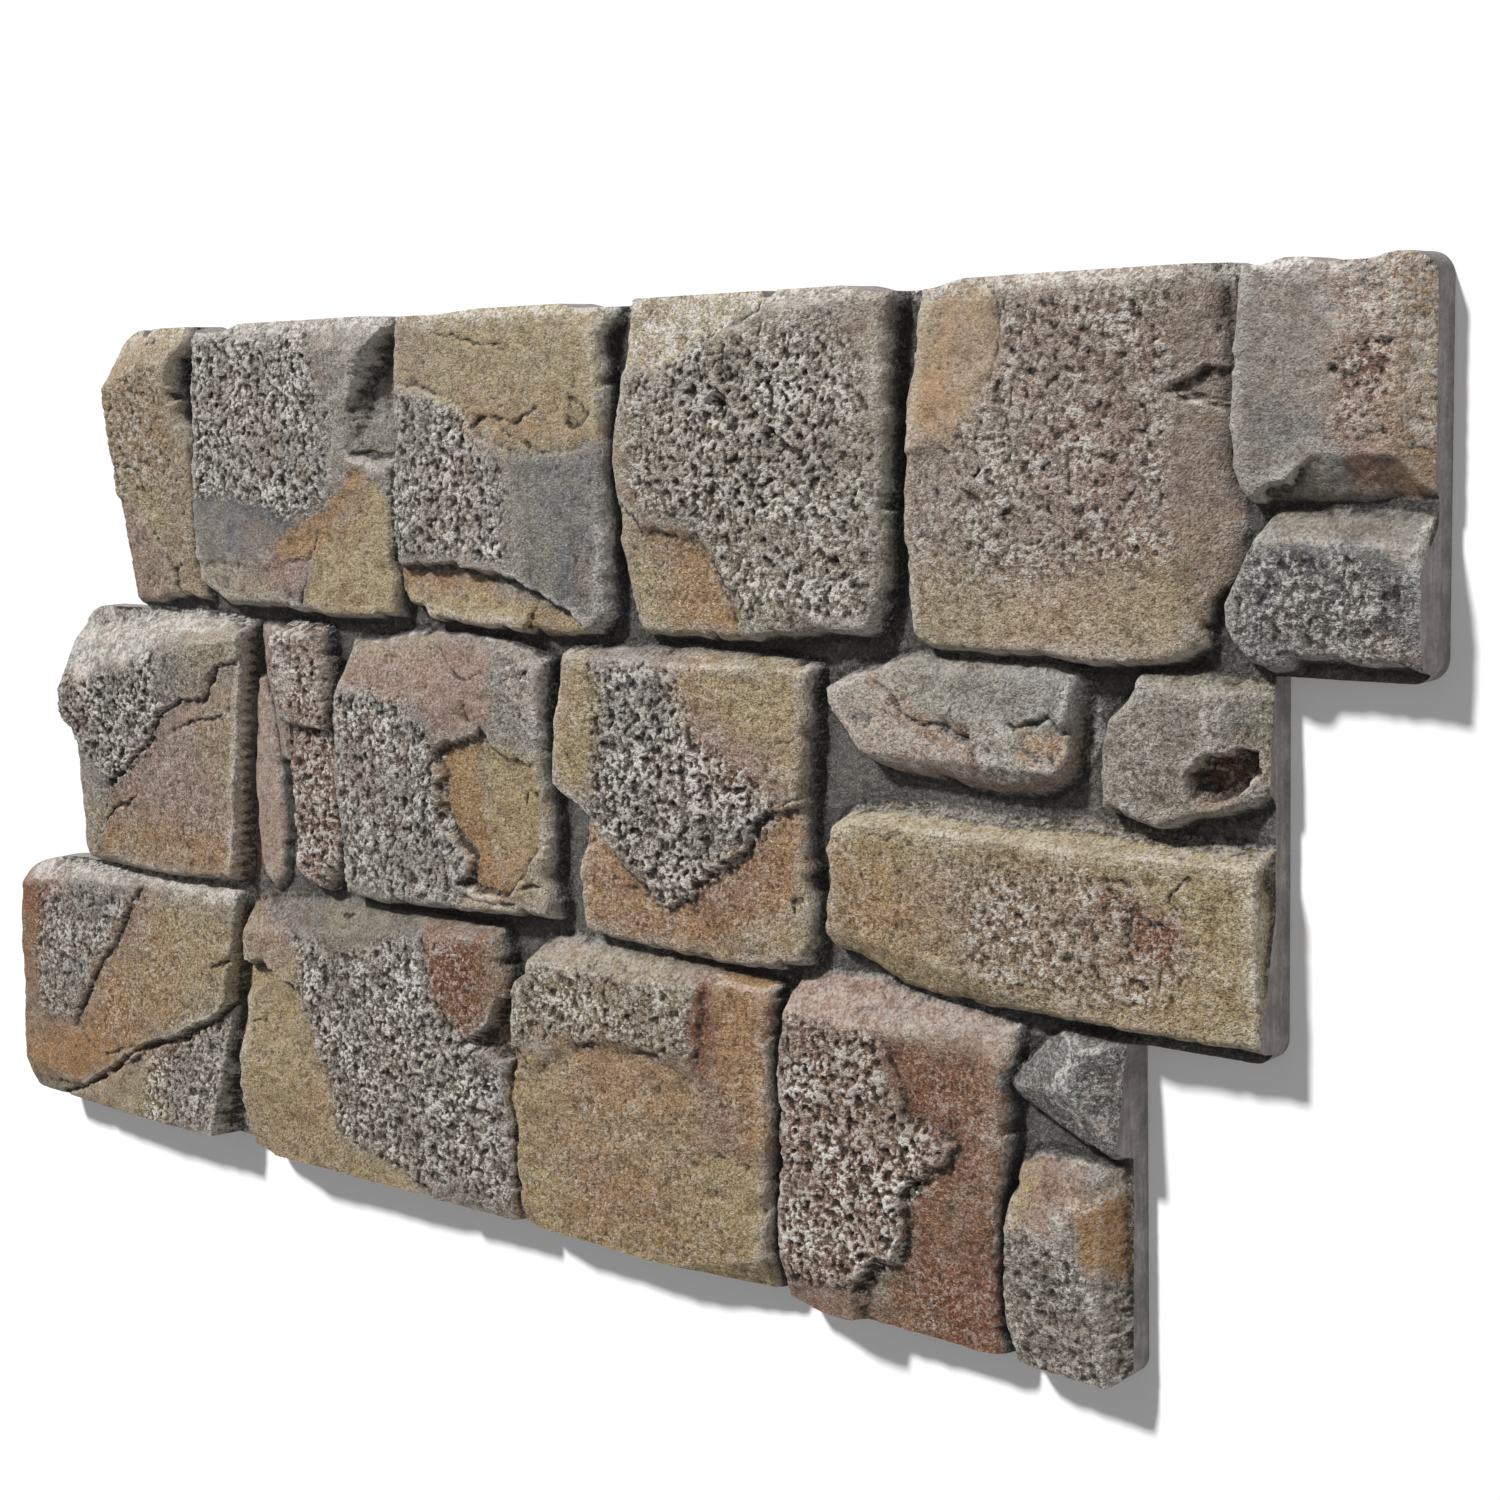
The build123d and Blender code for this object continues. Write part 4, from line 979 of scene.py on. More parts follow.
# %% Broad stone with a fine even grain
stone(
    "sloping", 34,
    [(908, 630), (904, 588), (902, 560), (899, 540), (897, 520), (896, 500), (894, 480), (893, 460),
     (896, 445), (897, 425), (899, 408), (905, 402), (940, 401), (985, 401), (1000, 399), (1030, 397),
     (1050, 400), (1065, 402), (1078, 410), (1079, 425), (1086, 438), (1096, 442), (1096, 530),
     (1094, 548), (1090, 575), (1090, 630)],
    [
        [(900, 450, 34), (900, 580, 34), (1000, 500, 37)],
        [(1062, 440, 35), (1062, 535, 35), (1096, 490, 21)],
        [(1072, 595, 34), (1078, 556, 34), (1093, 575, 20)],
        [(950, 600, 31), (1080, 600, 30), (1010, 594, 36)],
        [(1000, 500, 37), (1075, 420, 33), (1075, 580, 33.5)],
    ],
    clefts=[
        ([(880, 508), (898, 507), (925, 514), (937, 522), (946, 535), (956, 548), (961, 562),
          (962, 580), (957, 598), (955, 640), (880, 640)],
         [(900, 560, 32), (925, 590, 29), (945, 545, 33)], 3.5),
        ([(1060, 538), (1070, 545), (1080, 550), (1100, 554), (1100, 529), (1080, 532)],
         [(1066, 539, 29), (1094, 530, 18), (1094, 552, 19)], 2.0),
        ([(898, 640), (900, 584), (918, 583), (930, 592), (940, 598), (945, 640)],
         [(905, 600, 22), (935, 602, 25), (918, 584, 30)], 2.0),
    ],
    cracks=[
        ([(1060, 538), (1078, 533), (1096, 527)], 3.5, 3.0),
        ([(944, 492), (948, 500)], 3.0, 3.0),
        ([(958, 474), (966, 477)], 3.0, 4.0),
        ([(1090, 590), (1082, 560)], 2.0, 3.0),
    ],
    coats=[
        ("rose", 0.45, None, 2),
        ("rust", 0.25, [(960, 595), (1075, 595), (1070, 470), (970, 480)], 16),
        ("tan", 0.85, [(900, 592), (930, 594), (935, 560), (925, 520), (897, 510)], 10),
        ("ochre", 0.85, [(925, 598), (956, 602), (962, 565), (938, 524), (915, 515), (905, 545)], 9),
        ("rose", 0.5, [(935, 580), (958, 575), (945, 540), (930, 545)], 8),
        ("tan", 0.75, [(893, 445), (1000, 445), (1080, 470), (1080, 395), (893, 395)], 20),
        ("chalk_and_highlight", 0.8, [(900, 640), (950, 640), (945, 600), (925, 590), (902, 588)], 3),
        ("chalk_and_highlight", 0.35, [(950, 640), (1090, 640), (1090, 596), (960, 597)], 3),
    ],
    rough=[
        (0.8, [(962, 592), (1066, 592), (1062, 450), (935, 440), (935, 520), (958, 550)], 10),
        (0.12, [(900, 590), (955, 598), (960, 562), (935, 522), (898, 512)], 4),
        (0.6, [(895, 505), (940, 520), (935, 430), (895, 430)], 10),
        (0.35, [(1064, 540), (1096, 540), (1096, 440), (1064, 440)], 4),
        (0.45, None, 4),
    ],
)

# %% Stone at the upper right corner
stone(
    "bright_corner", 34,
    [(1104, 630), (1101, 580), (1099, 560), (1098, 540), (1097, 520), (1098, 500), (1102, 490),
     (1107, 484), (1125, 484), (1160, 484), (1190, 485), (1212, 486), (1260, 486), (1260, 630)],
    [
        [(1100, 580, 35), (1100, 500, 35), (1150, 540, 36)],
        [(1183, 590, 34), (1183, 500, 34), (1206, 545, 18)],
        [(1105, 600, 31), (1200, 600, 28), (1150, 595, 35)],
        [(1120, 550, 36.5), (1145, 588, 34.5), (1170, 520, 34.5)],
    ],
    clefts=[
        ([(1113, 484), (1120, 490), (1130, 493), (1137, 500), (1145, 507), (1155, 514), (1163, 511),
          (1175, 505), (1190, 507), (1200, 503), (1260, 502), (1260, 470), (1113, 470)],
         [(1125, 486, 23), (1165, 495, 26), (1206, 490, 18)], 2.0),
        ([(1140, 640), (1142, 595), (1148, 582), (1155, 570), (1154, 556), (1151, 545), (1150, 532),
          (1156, 518), (1163, 511), (1260, 500), (1260, 640)],
         [(1155, 590, 33), (1155, 530, 33.5), (1190, 560, 32)], 4.0),
        ([(1163, 558), (1182, 559), (1180, 545), (1172, 533), (1164, 538)],
         [(1163, 558, 31), (1182, 556, 30), (1170, 534, 31)], 2.5),
    ],
    cracks=[([(1164, 558), (1176, 559), (1186, 557)], 1.8, 2.5), ([(1152, 548), (1156, 545)], 2.5, 3.0)],
    coats=[
        ("rose", 0.9, [(1146, 630), (1182, 630), (1182, 508), (1156, 514), (1153, 565)], 6),
        ("ochre", 0.95, [(1180, 630), (1230, 630), (1230, 500), (1178, 505)], 7),
        ("tan", 0.55, [(1182, 575), (1200, 575), (1198, 520), (1180, 520)], 7),
        ("rust", 1.0, [(1163, 560), (1183, 560), (1180, 542), (1170, 530), (1162, 538)], 3),
        ("rust", 0.35, [(1156, 600), (1184, 600), (1180, 516), (1158, 520)], 8),
        ("rust", 0.7, [(1163, 512), (1182, 505), (1182, 487), (1163, 487)], 5),
        ("ochre", 0.7, [(1180, 506), (1215, 502), (1215, 487), (1180, 487)], 5),
        ("chalk_and_highlight", 0.45, [(1140, 630), (1148, 630), (1150, 585), (1160, 565), (1152, 560), (1144, 580)], 3),
        ("chalk_and_highlight", 0.75, [(1156, 630), (1215, 630), (1215, 510), (1186, 512), (1184, 562), (1160, 566)], 8),
        ("slate", 0.35, [(1104, 630), (1144, 630), (1150, 575), (1148, 520), (1104, 490)], 8),
        ("rust", 0.4, [(1200, 545), (1212, 545), (1212, 508), (1200, 515)], 4),
    ],
    rough=[(0.7, [(1155, 600), (1208, 600), (1208, 502), (1155, 515)], 5), (0.3, None, 4)],
)

# %% Low dark stone below it
stone(
    "dark_low", 33,
    [(1118, 477), (1106, 455), (1099, 441), (1094, 430), (1094, 420), (1099, 411), (1107, 404),
     (1117, 400), (1126, 402), (1131, 407), (1150, 408), (1165, 405), (1180, 406), (1200, 404),
     (1260, 403), (1260, 475), (1200, 476), (1160, 478)],
    [
        [(1100, 430, 34), (1200, 430, 33), (1150, 460, 35)],
        [(1120, 477, 23), (1205, 474, 21), (1155, 463, 34.5)],
        [(1200, 452, 32), (1201, 412, 32), (1208, 430, 17)],
    ],
    coats=[
        ("slate", 1.0, [(1094, 464), (1130, 463), (1155, 465), (1180, 460), (1203, 452), (1203, 400),
                        (1094, 400)], 3),
        ("tan", 0.25, [(1118, 480), (1210, 478), (1210, 462), (1118, 466)], 3),
        ("slate", 0.4, [(1110, 480), (1215, 480), (1215, 456), (1180, 462), (1155, 466), (1110, 464)], 5),
    ],
    rough=[(0.75, [(1098, 462), (1200, 452), (1200, 404), (1098, 404)], 3), (0.3, None, 3)],
)
print("recipes in all:", len(stones))

# %% [markdown]
# ## From recipe to height
# For one place on the board the height is found in the order a mould maker would
# cut it: the joint floor, the block of the stone with its worn shoulders, the
# planes of its face, the clefts and cracks, and last the grain. Edges are broken
# by reading every outline through the same slightly bent coordinates.

# %% Walls and planes
wall_run = 4.2
wall_bow = 3.2
shoulder = 6.0
plain_rough = 0.3
hiding = 0.75
search_margin = 12
# Chalk is pale paint and also painted highlight on the lit upper edges of the stones.
paints = ("tan", "ochre", "rust", "rose", "slate", "chalk_and_highlight")


def soft_min(a, b, blend=1.2):
    """The lower of two heights, with the edge between them worn to a small radius."""
    near = np.clip(blend - np.abs(a - b), 0, None) / blend
    return np.minimum(a, b) - near * near * blend / 4


def bent(x, y, amount, size, seed):
    """Places moved sideways by noise, so that a straight side reads as a broken one."""
    return (x + amount * layers(x, y, size, seed, 2), y + amount * layers(x, y, size, seed + 7, 2))


def close_to(s, x, y):
    """Which places lie in the box round a stone, widened by search_margin."""
    low, high = s["outline"].min(0) - search_margin, s["outline"].max(0) + search_margin
    return (x > low[0]) & (x < high[0]) & (y > low[1]) & (y < high[1])


print("the lower of 3 and 3.5, worn:", soft_min(np.array([3.0]), np.array([3.5])).round(2))

# %% Face of a stone before its grain


def face_height(s, x, y):
    """The height of a stone's face before its grain. It starts on the first plane, drops to the floor
    of each cleft, is cut by the other planes, rolls a little, and has its cracks let in. A crack is
    deepest on its line, fades out at both ends, and is broken up by noise."""
    a, b, c = s["facets"][0]
    height = a * x + b * y + c
    cx, cy = bent(x, y, 1.7, 12.0, 21)
    cx, cy = bent(cx, cy, 0.9, 5.0, 23)
    uneven = 1.0 + 2.6 * ease(noise(x, y, 30.0, 29) + 0.45)
    for area, (a, b, c), soft in s["clefts"]:
        gone = ease(reach(cx, cy, area)[0] / (soft * uneven) + 0.5)
        floor = a * x + b * y + c + 0.8 * noise(x, y, 14.0, 31)
        height = height + gone * (floor - height)
    for a, b, c in s["facets"][1:]:
        height = soft_min(height, a * x + b * y + c)
    height = height + 1.1 * layers(x, y, 46.0, 5)
    height = height + 0.8 * noise(x, y, 17.0, 8) + 0.4 * noise(x, y, 8.0, 9)
    lx, ly = bent(x, y, 1.6, 9.0, 41)
    for line, depth, width in s["cracks"]:
        gap, along = line_gap(lx, ly, line)
        ends = ease(8 * np.minimum(along, 1 - along) + 0.25)
        broken = 0.55 + 0.6 * ease(noise(x, y, 11.0, 43) + 0.5)
        height = height - depth * ends * broken * ease(1 - gap / (0.85 * width * broken))
    return height


# %% Grain


def grain(x, y, rough):
    """Split-stone grain, stronger where the face is rougher. Crusty bumps of two sizes lean on each
    other, lumps and fine grit lie on them, and pits are let in where it is roughest."""
    gx, gy = bent(x, y, 1.4, 6.0, 50)
    bumps = 1.4 * crust(gx, gy * 1.15, 3.9, 51) + 1.0 * crust(gx, gy, 2.6, 52) - 1.3
    lumps = 0.9 * noise(x, y, 9.0, 53) + 0.7 * noise(x, y, 4.2, 54)
    grit = noise(x, y, 2.6, 55)
    relief = 0.75 * bumps + 0.5 * lumps + 0.5 * grit
    pits = ease((noise(x, y, 6.5, 56) + 0.6 * noise(x, y, 3.2, 57) - 0.3) / 0.33)
    strength = 0.25 + 1.2 * np.clip(rough, 0, 2) ** 1.4
    return strength * relief - 3.0 * pits * np.clip(rough - 0.45, 0, 1)


print("grain at one place:", grain(np.array([10.0]), np.array([20.0]), np.array([1.0])).round(2))

# %% [markdown]
# The same pass also keeps what the painter did: how much of each coat lies on a
# place, how rough the face is there and how much of it is joint. A patch fades
# out over its own softness, and later ones lie over earlier ones.

# %% Height and coats for every place of a grid
chip_depth = 1.5
grain_starts, grain_fade = 0.5, 6.0
joint_ends, joint_fade = 1.5, 3.0
rough_spread, thin_spread, broad_spread = 1.7, 1.6, 2.8
thin_paints = ("slate", "chalk_and_highlight")


def lay_coat(shown, here, on_stone, paint, strength, cover):
    """Lays one coat over the ones below it, and hides most of them. The chalk coat, pale paint that is also
    painted highlight, hides none.
    """
    for other in paints:
        keep = shown[other][here]
        if other == paint:
            fresh = np.maximum(keep, strength * cover)
        elif paint == "chalk_and_highlight":
            fresh = keep
        else:
            fresh = keep * (1 - hiding * strength * cover)
        shown[other][here] = np.where(on_stone, fresh, keep)


def course_surface(x, y):
    """Height of the board at each place, the strength of each coat there, how rough it is, how much
    of it is joint, and its grain alone. The wall of a stone rises steeply and then bows over."""
    floor_relief = 0.6 * layers(x, y, 5.5, 66, 3, 0.7)
    height = joint_floor + 0.9 * layers(x, y, 34.0, 61) + floor_relief
    grain_here = floor_relief * 0.6
    shown = {paint: np.zeros(x.shape) for paint in paints}
    rough = np.full(x.shape, plain_rough)
    joint = np.ones(x.shape)
    ex, ey = bent(x, y, 1.2, 16.0, 71)
    ex, ey = bent(ex, ey, 0.35, 9.0, 73)
    chips = chip_depth * ease((noise(x, y, 15.0, 75) - 0.3) / 0.25)
    for s in stones:
        here = close_to(s, x, y)
        if not here.any():
            continue
        px, py = x[here], y[here]
        inside = reach(ex[here], ey[here], s["outline"])[0] + wall_run - chips[here]
        on_stone = inside > 0
        patch_x, patch_y = bent(px, py, 4.5, 22.0, 81)
        patch_x, patch_y = bent(patch_x, patch_y, 2.0, 7.0, 83)
        texture = np.full(px.shape, plain_rough)
        for amount, area, soft in reversed(s["rough"]):
            cover = 1.0
            if area is not None:
                cover = ease(reach(patch_x, patch_y, area)[0] / (rough_spread * soft) + 0.5)
            texture = texture + (amount - texture) * cover
        relief = grain(px, py, texture) * ease((inside - grain_starts) / grain_fade)
        face = face_height(s, px, py) + relief
        rise = np.clip(inside / (wall_run + shoulder), 0, 1)
        wall = 1 - (1 - rise) ** wall_bow
        body = joint_floor - 1 + (face - joint_floor + 1) * wall
        height[here] = np.where(on_stone, np.maximum(height[here], body), height[here])
        grain_here[here] = np.where(on_stone, relief, grain_here[here])
        for paint, strength, area, soft in s["coats"]:
            spread = (thin_spread if paint in thin_paints else broad_spread) * soft
            cover = 1.0 if area is None else ease(reach(patch_x, patch_y, area)[0] / spread + 0.5)
            lay_coat(shown, here, on_stone, paint, strength, cover)
        rough[here] = np.where(on_stone, texture, rough[here])
        still_joint = 1 - ease((inside - joint_ends) / joint_fade)
        joint[here] = np.where(on_stone, np.minimum(joint[here], still_joint), joint[here])
    return height, shown, rough, joint, grain_here


print("coats:", paints)

# %% [markdown]
# ## The grid
# The sides of the stones are almost upright, and a plain square grid would
# leave saw teeth on them. So the grid lines are first drawn towards the nearest
# stone outline, which puts more rows on each wall. The corners at the ends are
# rounded by mapping a square corner onto a quarter disc, more on the left, where
# the stones themselves are rounded, and the head edge has worn dips.

# %% Grid places drawn towards the stone outlines
spacing = 1.25
margin = 15
pull_reach = 5.0
pull_share = 0.4
left_corner = [(75, 17), (34, 24), (18, 10)]
foot_corner = (8, 8)
head_reach = 16
head_dips = ((206, 5, 9), (288, 5, 30), (500, 2, 60), (664, 3.5, 34), (802, 4, 7), (895, 4.5, 42),
             (1108, 3, 20), (1160, 3, 26))


def drawn_to_outlines(x, y):
    """Shortens the way to the nearest outline, most close to it and not at all past pull_reach."""
    best = np.full(x.shape, 1e9)
    near_x, near_y = x.copy(), y.copy()
    for s in stones:
        here = close_to(s, x, y)
        if not here.any():
            continue
        gap, qx, qy = reach(x[here], y[here], s["outline"])
        closer = np.abs(gap) < best[here]
        best[here] = np.where(closer, np.abs(gap), best[here])
        near_x[here] = np.where(closer, qx, near_x[here])
        near_y[here] = np.where(closer, qy, near_y[here])
    pull = pull_share * np.clip(1 - best / pull_reach, 0, 1)
    pull[margin, :] = pull[-margin - 1, :] = pull[:, margin] = pull[:, -margin - 1] = 0
    return x + pull * (near_x - x), y + pull * (near_y - y)


print("grid spacing in millimetres:", spacing)

# %% Rounded corners and the worn head edge


def rounded(x, y, corner, way, size):
    """Rounds the board's corner, whose inside lies at way from it, over the given size:
    each side is shortened by the square root of one less half the square of the other."""
    a = np.clip(1 - way[0] * (x - corner[0]) / size[0], 0, 1)
    b = np.clip(1 - way[1] * (y - corner[1]) / size[1], 0, 1)
    near = (a > 0) & (b > 0)
    new_x = corner[0] + way[0] * size[0] * (1 - a * np.sqrt(1 - b * b / 2))
    new_y = corner[1] + way[1] * size[1] * (1 - b * np.sqrt(1 - a * a / 2))
    return np.where(near, new_x, x), np.where(near, new_y, y)


def worn_head(x, y):
    """The head edge of the board, set back where it is worn. Each dip is (middle, depth, half its
    width), and the setting back fades out over head_reach below the edge."""
    back = np.zeros(x.shape)
    for middle, depth, half in head_dips:
        back = np.maximum(back, depth * ease(1.6 - 1.6 * np.abs(x - middle) / half))
    share = np.clip((y - panel_height + head_reach) / head_reach, 0, 1)
    return y - back * share


print("dips in the head edge:", len(head_dips))

# %% The grid of one piece


def steps(start, end):
    """Evenly spaced places from start to end, with a margin of more steps beyond both."""
    count = round((end - start) / spacing)
    return start + (end - start) / count * np.arange(-margin, count + margin + 1)


def piece_grid(number, left, right):
    """Places of one piece of a course, from its left line to its right line, and of its margin."""
    low, high = course_lines[number], course_lines[number + 1]
    y, x = np.meshgrid(steps(low, high), steps(left, right))
    x, y = drawn_to_outlines(x, y)
    if right > course_start(number) + course_length - 1:
        x, y = rounded(x, y, (right, low), (-1, 1), (end_corner, end_corner))
        if number == 2:
            x, y = rounded(x, y, (right, high), (-1, -1), (end_corner, end_corner))
    if left < course_start(number) + 1:
        x, y = rounded(x, y, (left, high), (1, -1), left_corner[number])
        if number == 0:
            x, y = rounded(x, y, (left, low), (1, 1), foot_corner)
    if number == 2:
        y = worn_head(x, y)
    return x, y


print("steps across one centimetre:", len(steps(0, 10)) - 2 * margin - 1)

# %% [markdown]
# ## From heights to a closed block
# A piece of the board is its grid of heights, a wall of a few rows down to the
# back, and the flat back itself. The block is closed, and every face looks outward.
# What the painter needs is kept on the vertices: the coats, how rough the place
# is, and how far it stands above or below its own surroundings, which places the
# painted shade and highlight.

# %% Mean height round each place


def blurred(values, radius):
    """The mean of the values in a square of the given radius, in grid steps, done twice."""
    for _ in range(2):
        for axis in (0, 1):
            width = 2 * radius + 1
            padded = np.concatenate([
                np.repeat(np.take(values, [0], axis), radius + 1, axis), values,
                np.repeat(np.take(values, [-1], axis), radius, axis)], axis)
            run = np.cumsum(padded, axis)
            count = values.shape[axis]
            high = np.take(run, np.arange(width, width + count), axis)
            low = np.take(run, np.arange(count), axis)
            values = (high - low) / width
    return values


print("mean of a single peak:", blurred(np.eye(5)[2:3] * np.ones((5, 1)), 1).max().round(2))

# %% Block from a grid of heights
wall_rows = 5


def colour_layer(mesh, name, channels):
    """Keeps up to four values of each vertex as one colour attribute."""
    values = np.ones((len(mesh.vertices), 4), np.float32)
    for number, channel in enumerate(channels):
        values[:, number] = channel
    mesh.color_attributes.new(name, "FLOAT_COLOR", "POINT")
    mesh.color_attributes[name].data.foreach_set("color", values.ravel())


def sharpen(mesh, rim):
    """Marks the edges between rim vertices as sharp, so that the face is shaded apart from the walls
    and two pieces that meet look like one."""
    on_rim = np.zeros(len(mesh.vertices), bool)
    on_rim[rim] = True
    ends = np.empty(len(mesh.edges) * 2, np.int32)
    mesh.edges.foreach_get("vertices", ends)
    sharp = mesh.attributes.new("sharp_edge", "BOOLEAN", "EDGE")
    sharp.data.foreach_set("value", on_rim[ends].reshape(-1, 2).all(1))


def block(name, x, y, height, channels):
    """Mesh of the grid's surface, its walls and its back, in metres about the board's centre."""
    columns, rows = x.shape
    index = np.arange(columns * rows).reshape(columns, rows)
    top = np.stack([index[:-1, :-1], index[1:, :-1], index[1:, 1:], index[:-1, 1:]], -1).reshape(-1, 4)
    rim = np.concatenate([index[:-1, 0], index[-1, :-1], index[:0:-1, -1], index[0, :0:-1]])
    rim_x, rim_y, rim_z = x.ravel()[rim], y.ravel()[rim], height.ravel()[rim]
    places = [np.stack([x.ravel(), y.ravel(), height.ravel()], 1)]
    rings = [rim]
    for row in range(1, wall_rows + 1):
        share = 1 - row / wall_rows
        places.append(np.stack([rim_x, rim_y, rim_z * share], 1))
        rings.append(columns * rows + (row - 1) * len(rim) + np.arange(len(rim)))
    walls = [np.stack([a, b, np.roll(b, -1), np.roll(a, -1)], 1) for a, b in zip(rings[:-1], rings[1:])]
    points = np.concatenate(places) - [panel_length / 2, panel_height / 2, 0]
    faces = top.tolist() + np.concatenate(walls).tolist() + [rings[-1][::-1].tolist()]
    mesh = bpy.data.meshes.new(name)
    mesh.from_pydata((points / metre).tolist(), [], faces)
    smooth = np.zeros(len(faces), bool)
    smooth[:len(top)] = True
    mesh.polygons.foreach_set("use_smooth", smooth)
    part = np.zeros(len(faces), np.int32)
    part[len(top):] = 1
    part[-1] = 2
    mesh.polygons.foreach_set("material_index", part)
    sharpen(mesh, rim)
    below = wall_rows * len(rim)
    for layer, values in channels.items():
        colour_layer(mesh, layer, [np.concatenate([v.ravel(), np.zeros(below)]) for v in values])
    mesh.update()
    return mesh


print("rows of faces on each wall:", wall_rows)

# %% One piece of a course
piece_list = []
lowest, head_room = 8, 0.2
near_steps, wide_steps = 2, 7
near_span, wide_span, grain_span = 4, 16, 6


def centred(values, span):
    """Heights above and below zero as shares of a span, with zero at a half."""
    return np.clip(0.5 + values / span, 0, 1)


def panel_piece(name, number, left, right):
    """One piece of a course as an object of its own, riding on the board."""
    x, y = piece_grid(number, left, right)
    height, shown, rough, joint, relief = course_surface(x, y)
    height = np.clip(height, lowest, panel_depth - head_room)
    near, wide = height - blurred(height, near_steps), height - blurred(height, wide_steps)
    channels = {
        "coats": [shown["tan"], shown["ochre"], shown["rust"], shown["rose"]],
        "ground": [shown["slate"], shown["chalk_and_highlight"], rough, joint],
        "local_relief": [centred(near, near_span), centred(wide, wide_span), centred(relief, grain_span)],
    }
    inner = np.s_[margin:-margin, margin:-margin]
    for layer in channels:
        channels[layer] = [values[inner] for values in channels[layer]]
    mesh = block(name, x[inner], y[inner], height[inner], channels)
    piece = bpy.data.objects.new(name, mesh)
    bpy.context.scene.collection.objects.link(piece)
    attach(piece, "root")
    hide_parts("wall_panel")
    piece_list.append(piece)
    print(name, len(mesh.vertices), "vertices, highest", round(float(height.max()), 1), "mm")


print("heights run from", lowest, "to", round(panel_depth - head_room, 2), "mm")

# %% [markdown]
# ## Six pieces for one moulding
# The board is one moulding, but its face needs more triangles than one object
# should hold, so each course is cut at a joint between two stones. The pieces
# meet vertex for vertex there and on the course lines, so no seam shows.

# %% The six pieces
cuts = {"bottom": 560.0, "middle": 606.25, "top": 668.75}
for number, (course, cut) in enumerate(cuts.items()):
    start = course_start(number)
    panel_piece(course + "_course_left", number, start, cut)
    panel_piece(course + "_course_right", number, cut, start + course_length)
print("triangles:", sum(len(p.data.polygons) * 2 for p in piece_list))

# %% [markdown]
# ## Paint
# The board is foam painted in the order a decorator paints imitation stone: a
# grey ground, thin coats of earth colours sponged on in patches, a dark wash that
# stays in the pits and joints and is also painted shade there, and nearly dry pale
# paint dragged over the high places, which is also painted highlight on them. The
# coat, the wash and the dry brush are a node group each.

# %% Small helpers for node trees


def linear(red, green, blue):
    """A colour given as 0 to 255 on screen, as the linear values that nodes take."""
    values = [c / 255 for c in (red, green, blue)]
    return tuple(c / 12.92 if c <= 0.04045 else ((c + 0.055) / 1.055) ** 2.4 for c in values) + (1.0,)


class Tree:
    """A node tree that nodes are added to by kind, with their inputs as keywords' values."""

    def __init__(self, tree):
        self.tree = tree
        self.tree.nodes.clear()

    def node(self, kind, settings=None, **inputs):
        """Adds a node, with its settings and the values or links of its inputs."""
        made = self.tree.nodes.new(kind)
        for key, value in (settings or {}).items():
            setattr(made, key, value)
        for key, value in inputs.items():
            self.put(made, key.replace("_", " "), value)
        return made

    def put(self, node, key, value):
        """Links a socket to an input, or writes a plain value on it."""
        socket = node.inputs[int(key[3:])] if key.startswith("in ") else node.inputs[key]
        if isinstance(value, bpy.types.NodeSocket):
            self.tree.links.new(value, socket)
        else:
            socket.default_value = value

    def maths(self, operation, a, b=0.0, clamp=False):
        """One operation on two values."""
        made = self.node("ShaderNodeMath", {"operation": operation, "use_clamp": clamp}, in_0=a, in_1=b)
        return made.outputs[0]

    def noise(self, where, scale, detail=3.0, roughness=0.6):
        """Noise with about scale lumps in a metre."""
        made = self.node("ShaderNodeTexNoise", None, Vector=where, Scale=scale, Detail=detail,
                         Roughness=roughness)
        return made.outputs["Fac"]

    def range(self, value, low, high, new_low=0.0, new_high=1.0):
        """The value, moved from the range low to high to a new one, and held inside it."""
        made = self.node("ShaderNodeMapRange", {"clamp": True}, Value=value)
        for key, number in zip((1, 2, 3, 4), (low, high, new_low, new_high)):
            made.inputs[key].default_value = number
        return made.outputs[0]

    def mix(self, share, a, b, blend="MIX"):
        """Colour a with the given share of colour b on it."""
        made = self.node("ShaderNodeMix", {"data_type": "RGBA", "blend_type": blend})
        self.put(made, "in 0", share)
        self.put(made, "in 6", a)
        self.put(made, "in 7", b)
        return made.outputs[2]


def group(name, inputs, outputs):
    """A node group with named sockets, given as name: (kind, starting value)."""
    made = bpy.data.node_groups.new(name, "ShaderNodeTree")
    for label, (kind, value) in inputs.items():
        socket = made.interface.new_socket(label, in_out="INPUT", socket_type="NodeSocket" + kind)
        if value is not None:
            socket.default_value = value
    for label, kind in outputs.items():
        made.interface.new_socket(label, in_out="OUTPUT", socket_type="NodeSocket" + kind)
    tree = Tree(made)
    return made, tree, tree.node("NodeGroupInput").outputs, tree.node("NodeGroupOutput")


print("grey 128 is", round(linear(128, 128, 128)[0], 3), "in linear light")

# %% [markdown]
# A sponged coat never covers evenly. Its mask is broken by noise at two sizes,
# so it thins to nothing at its rim and lets the coat below show through in spots.

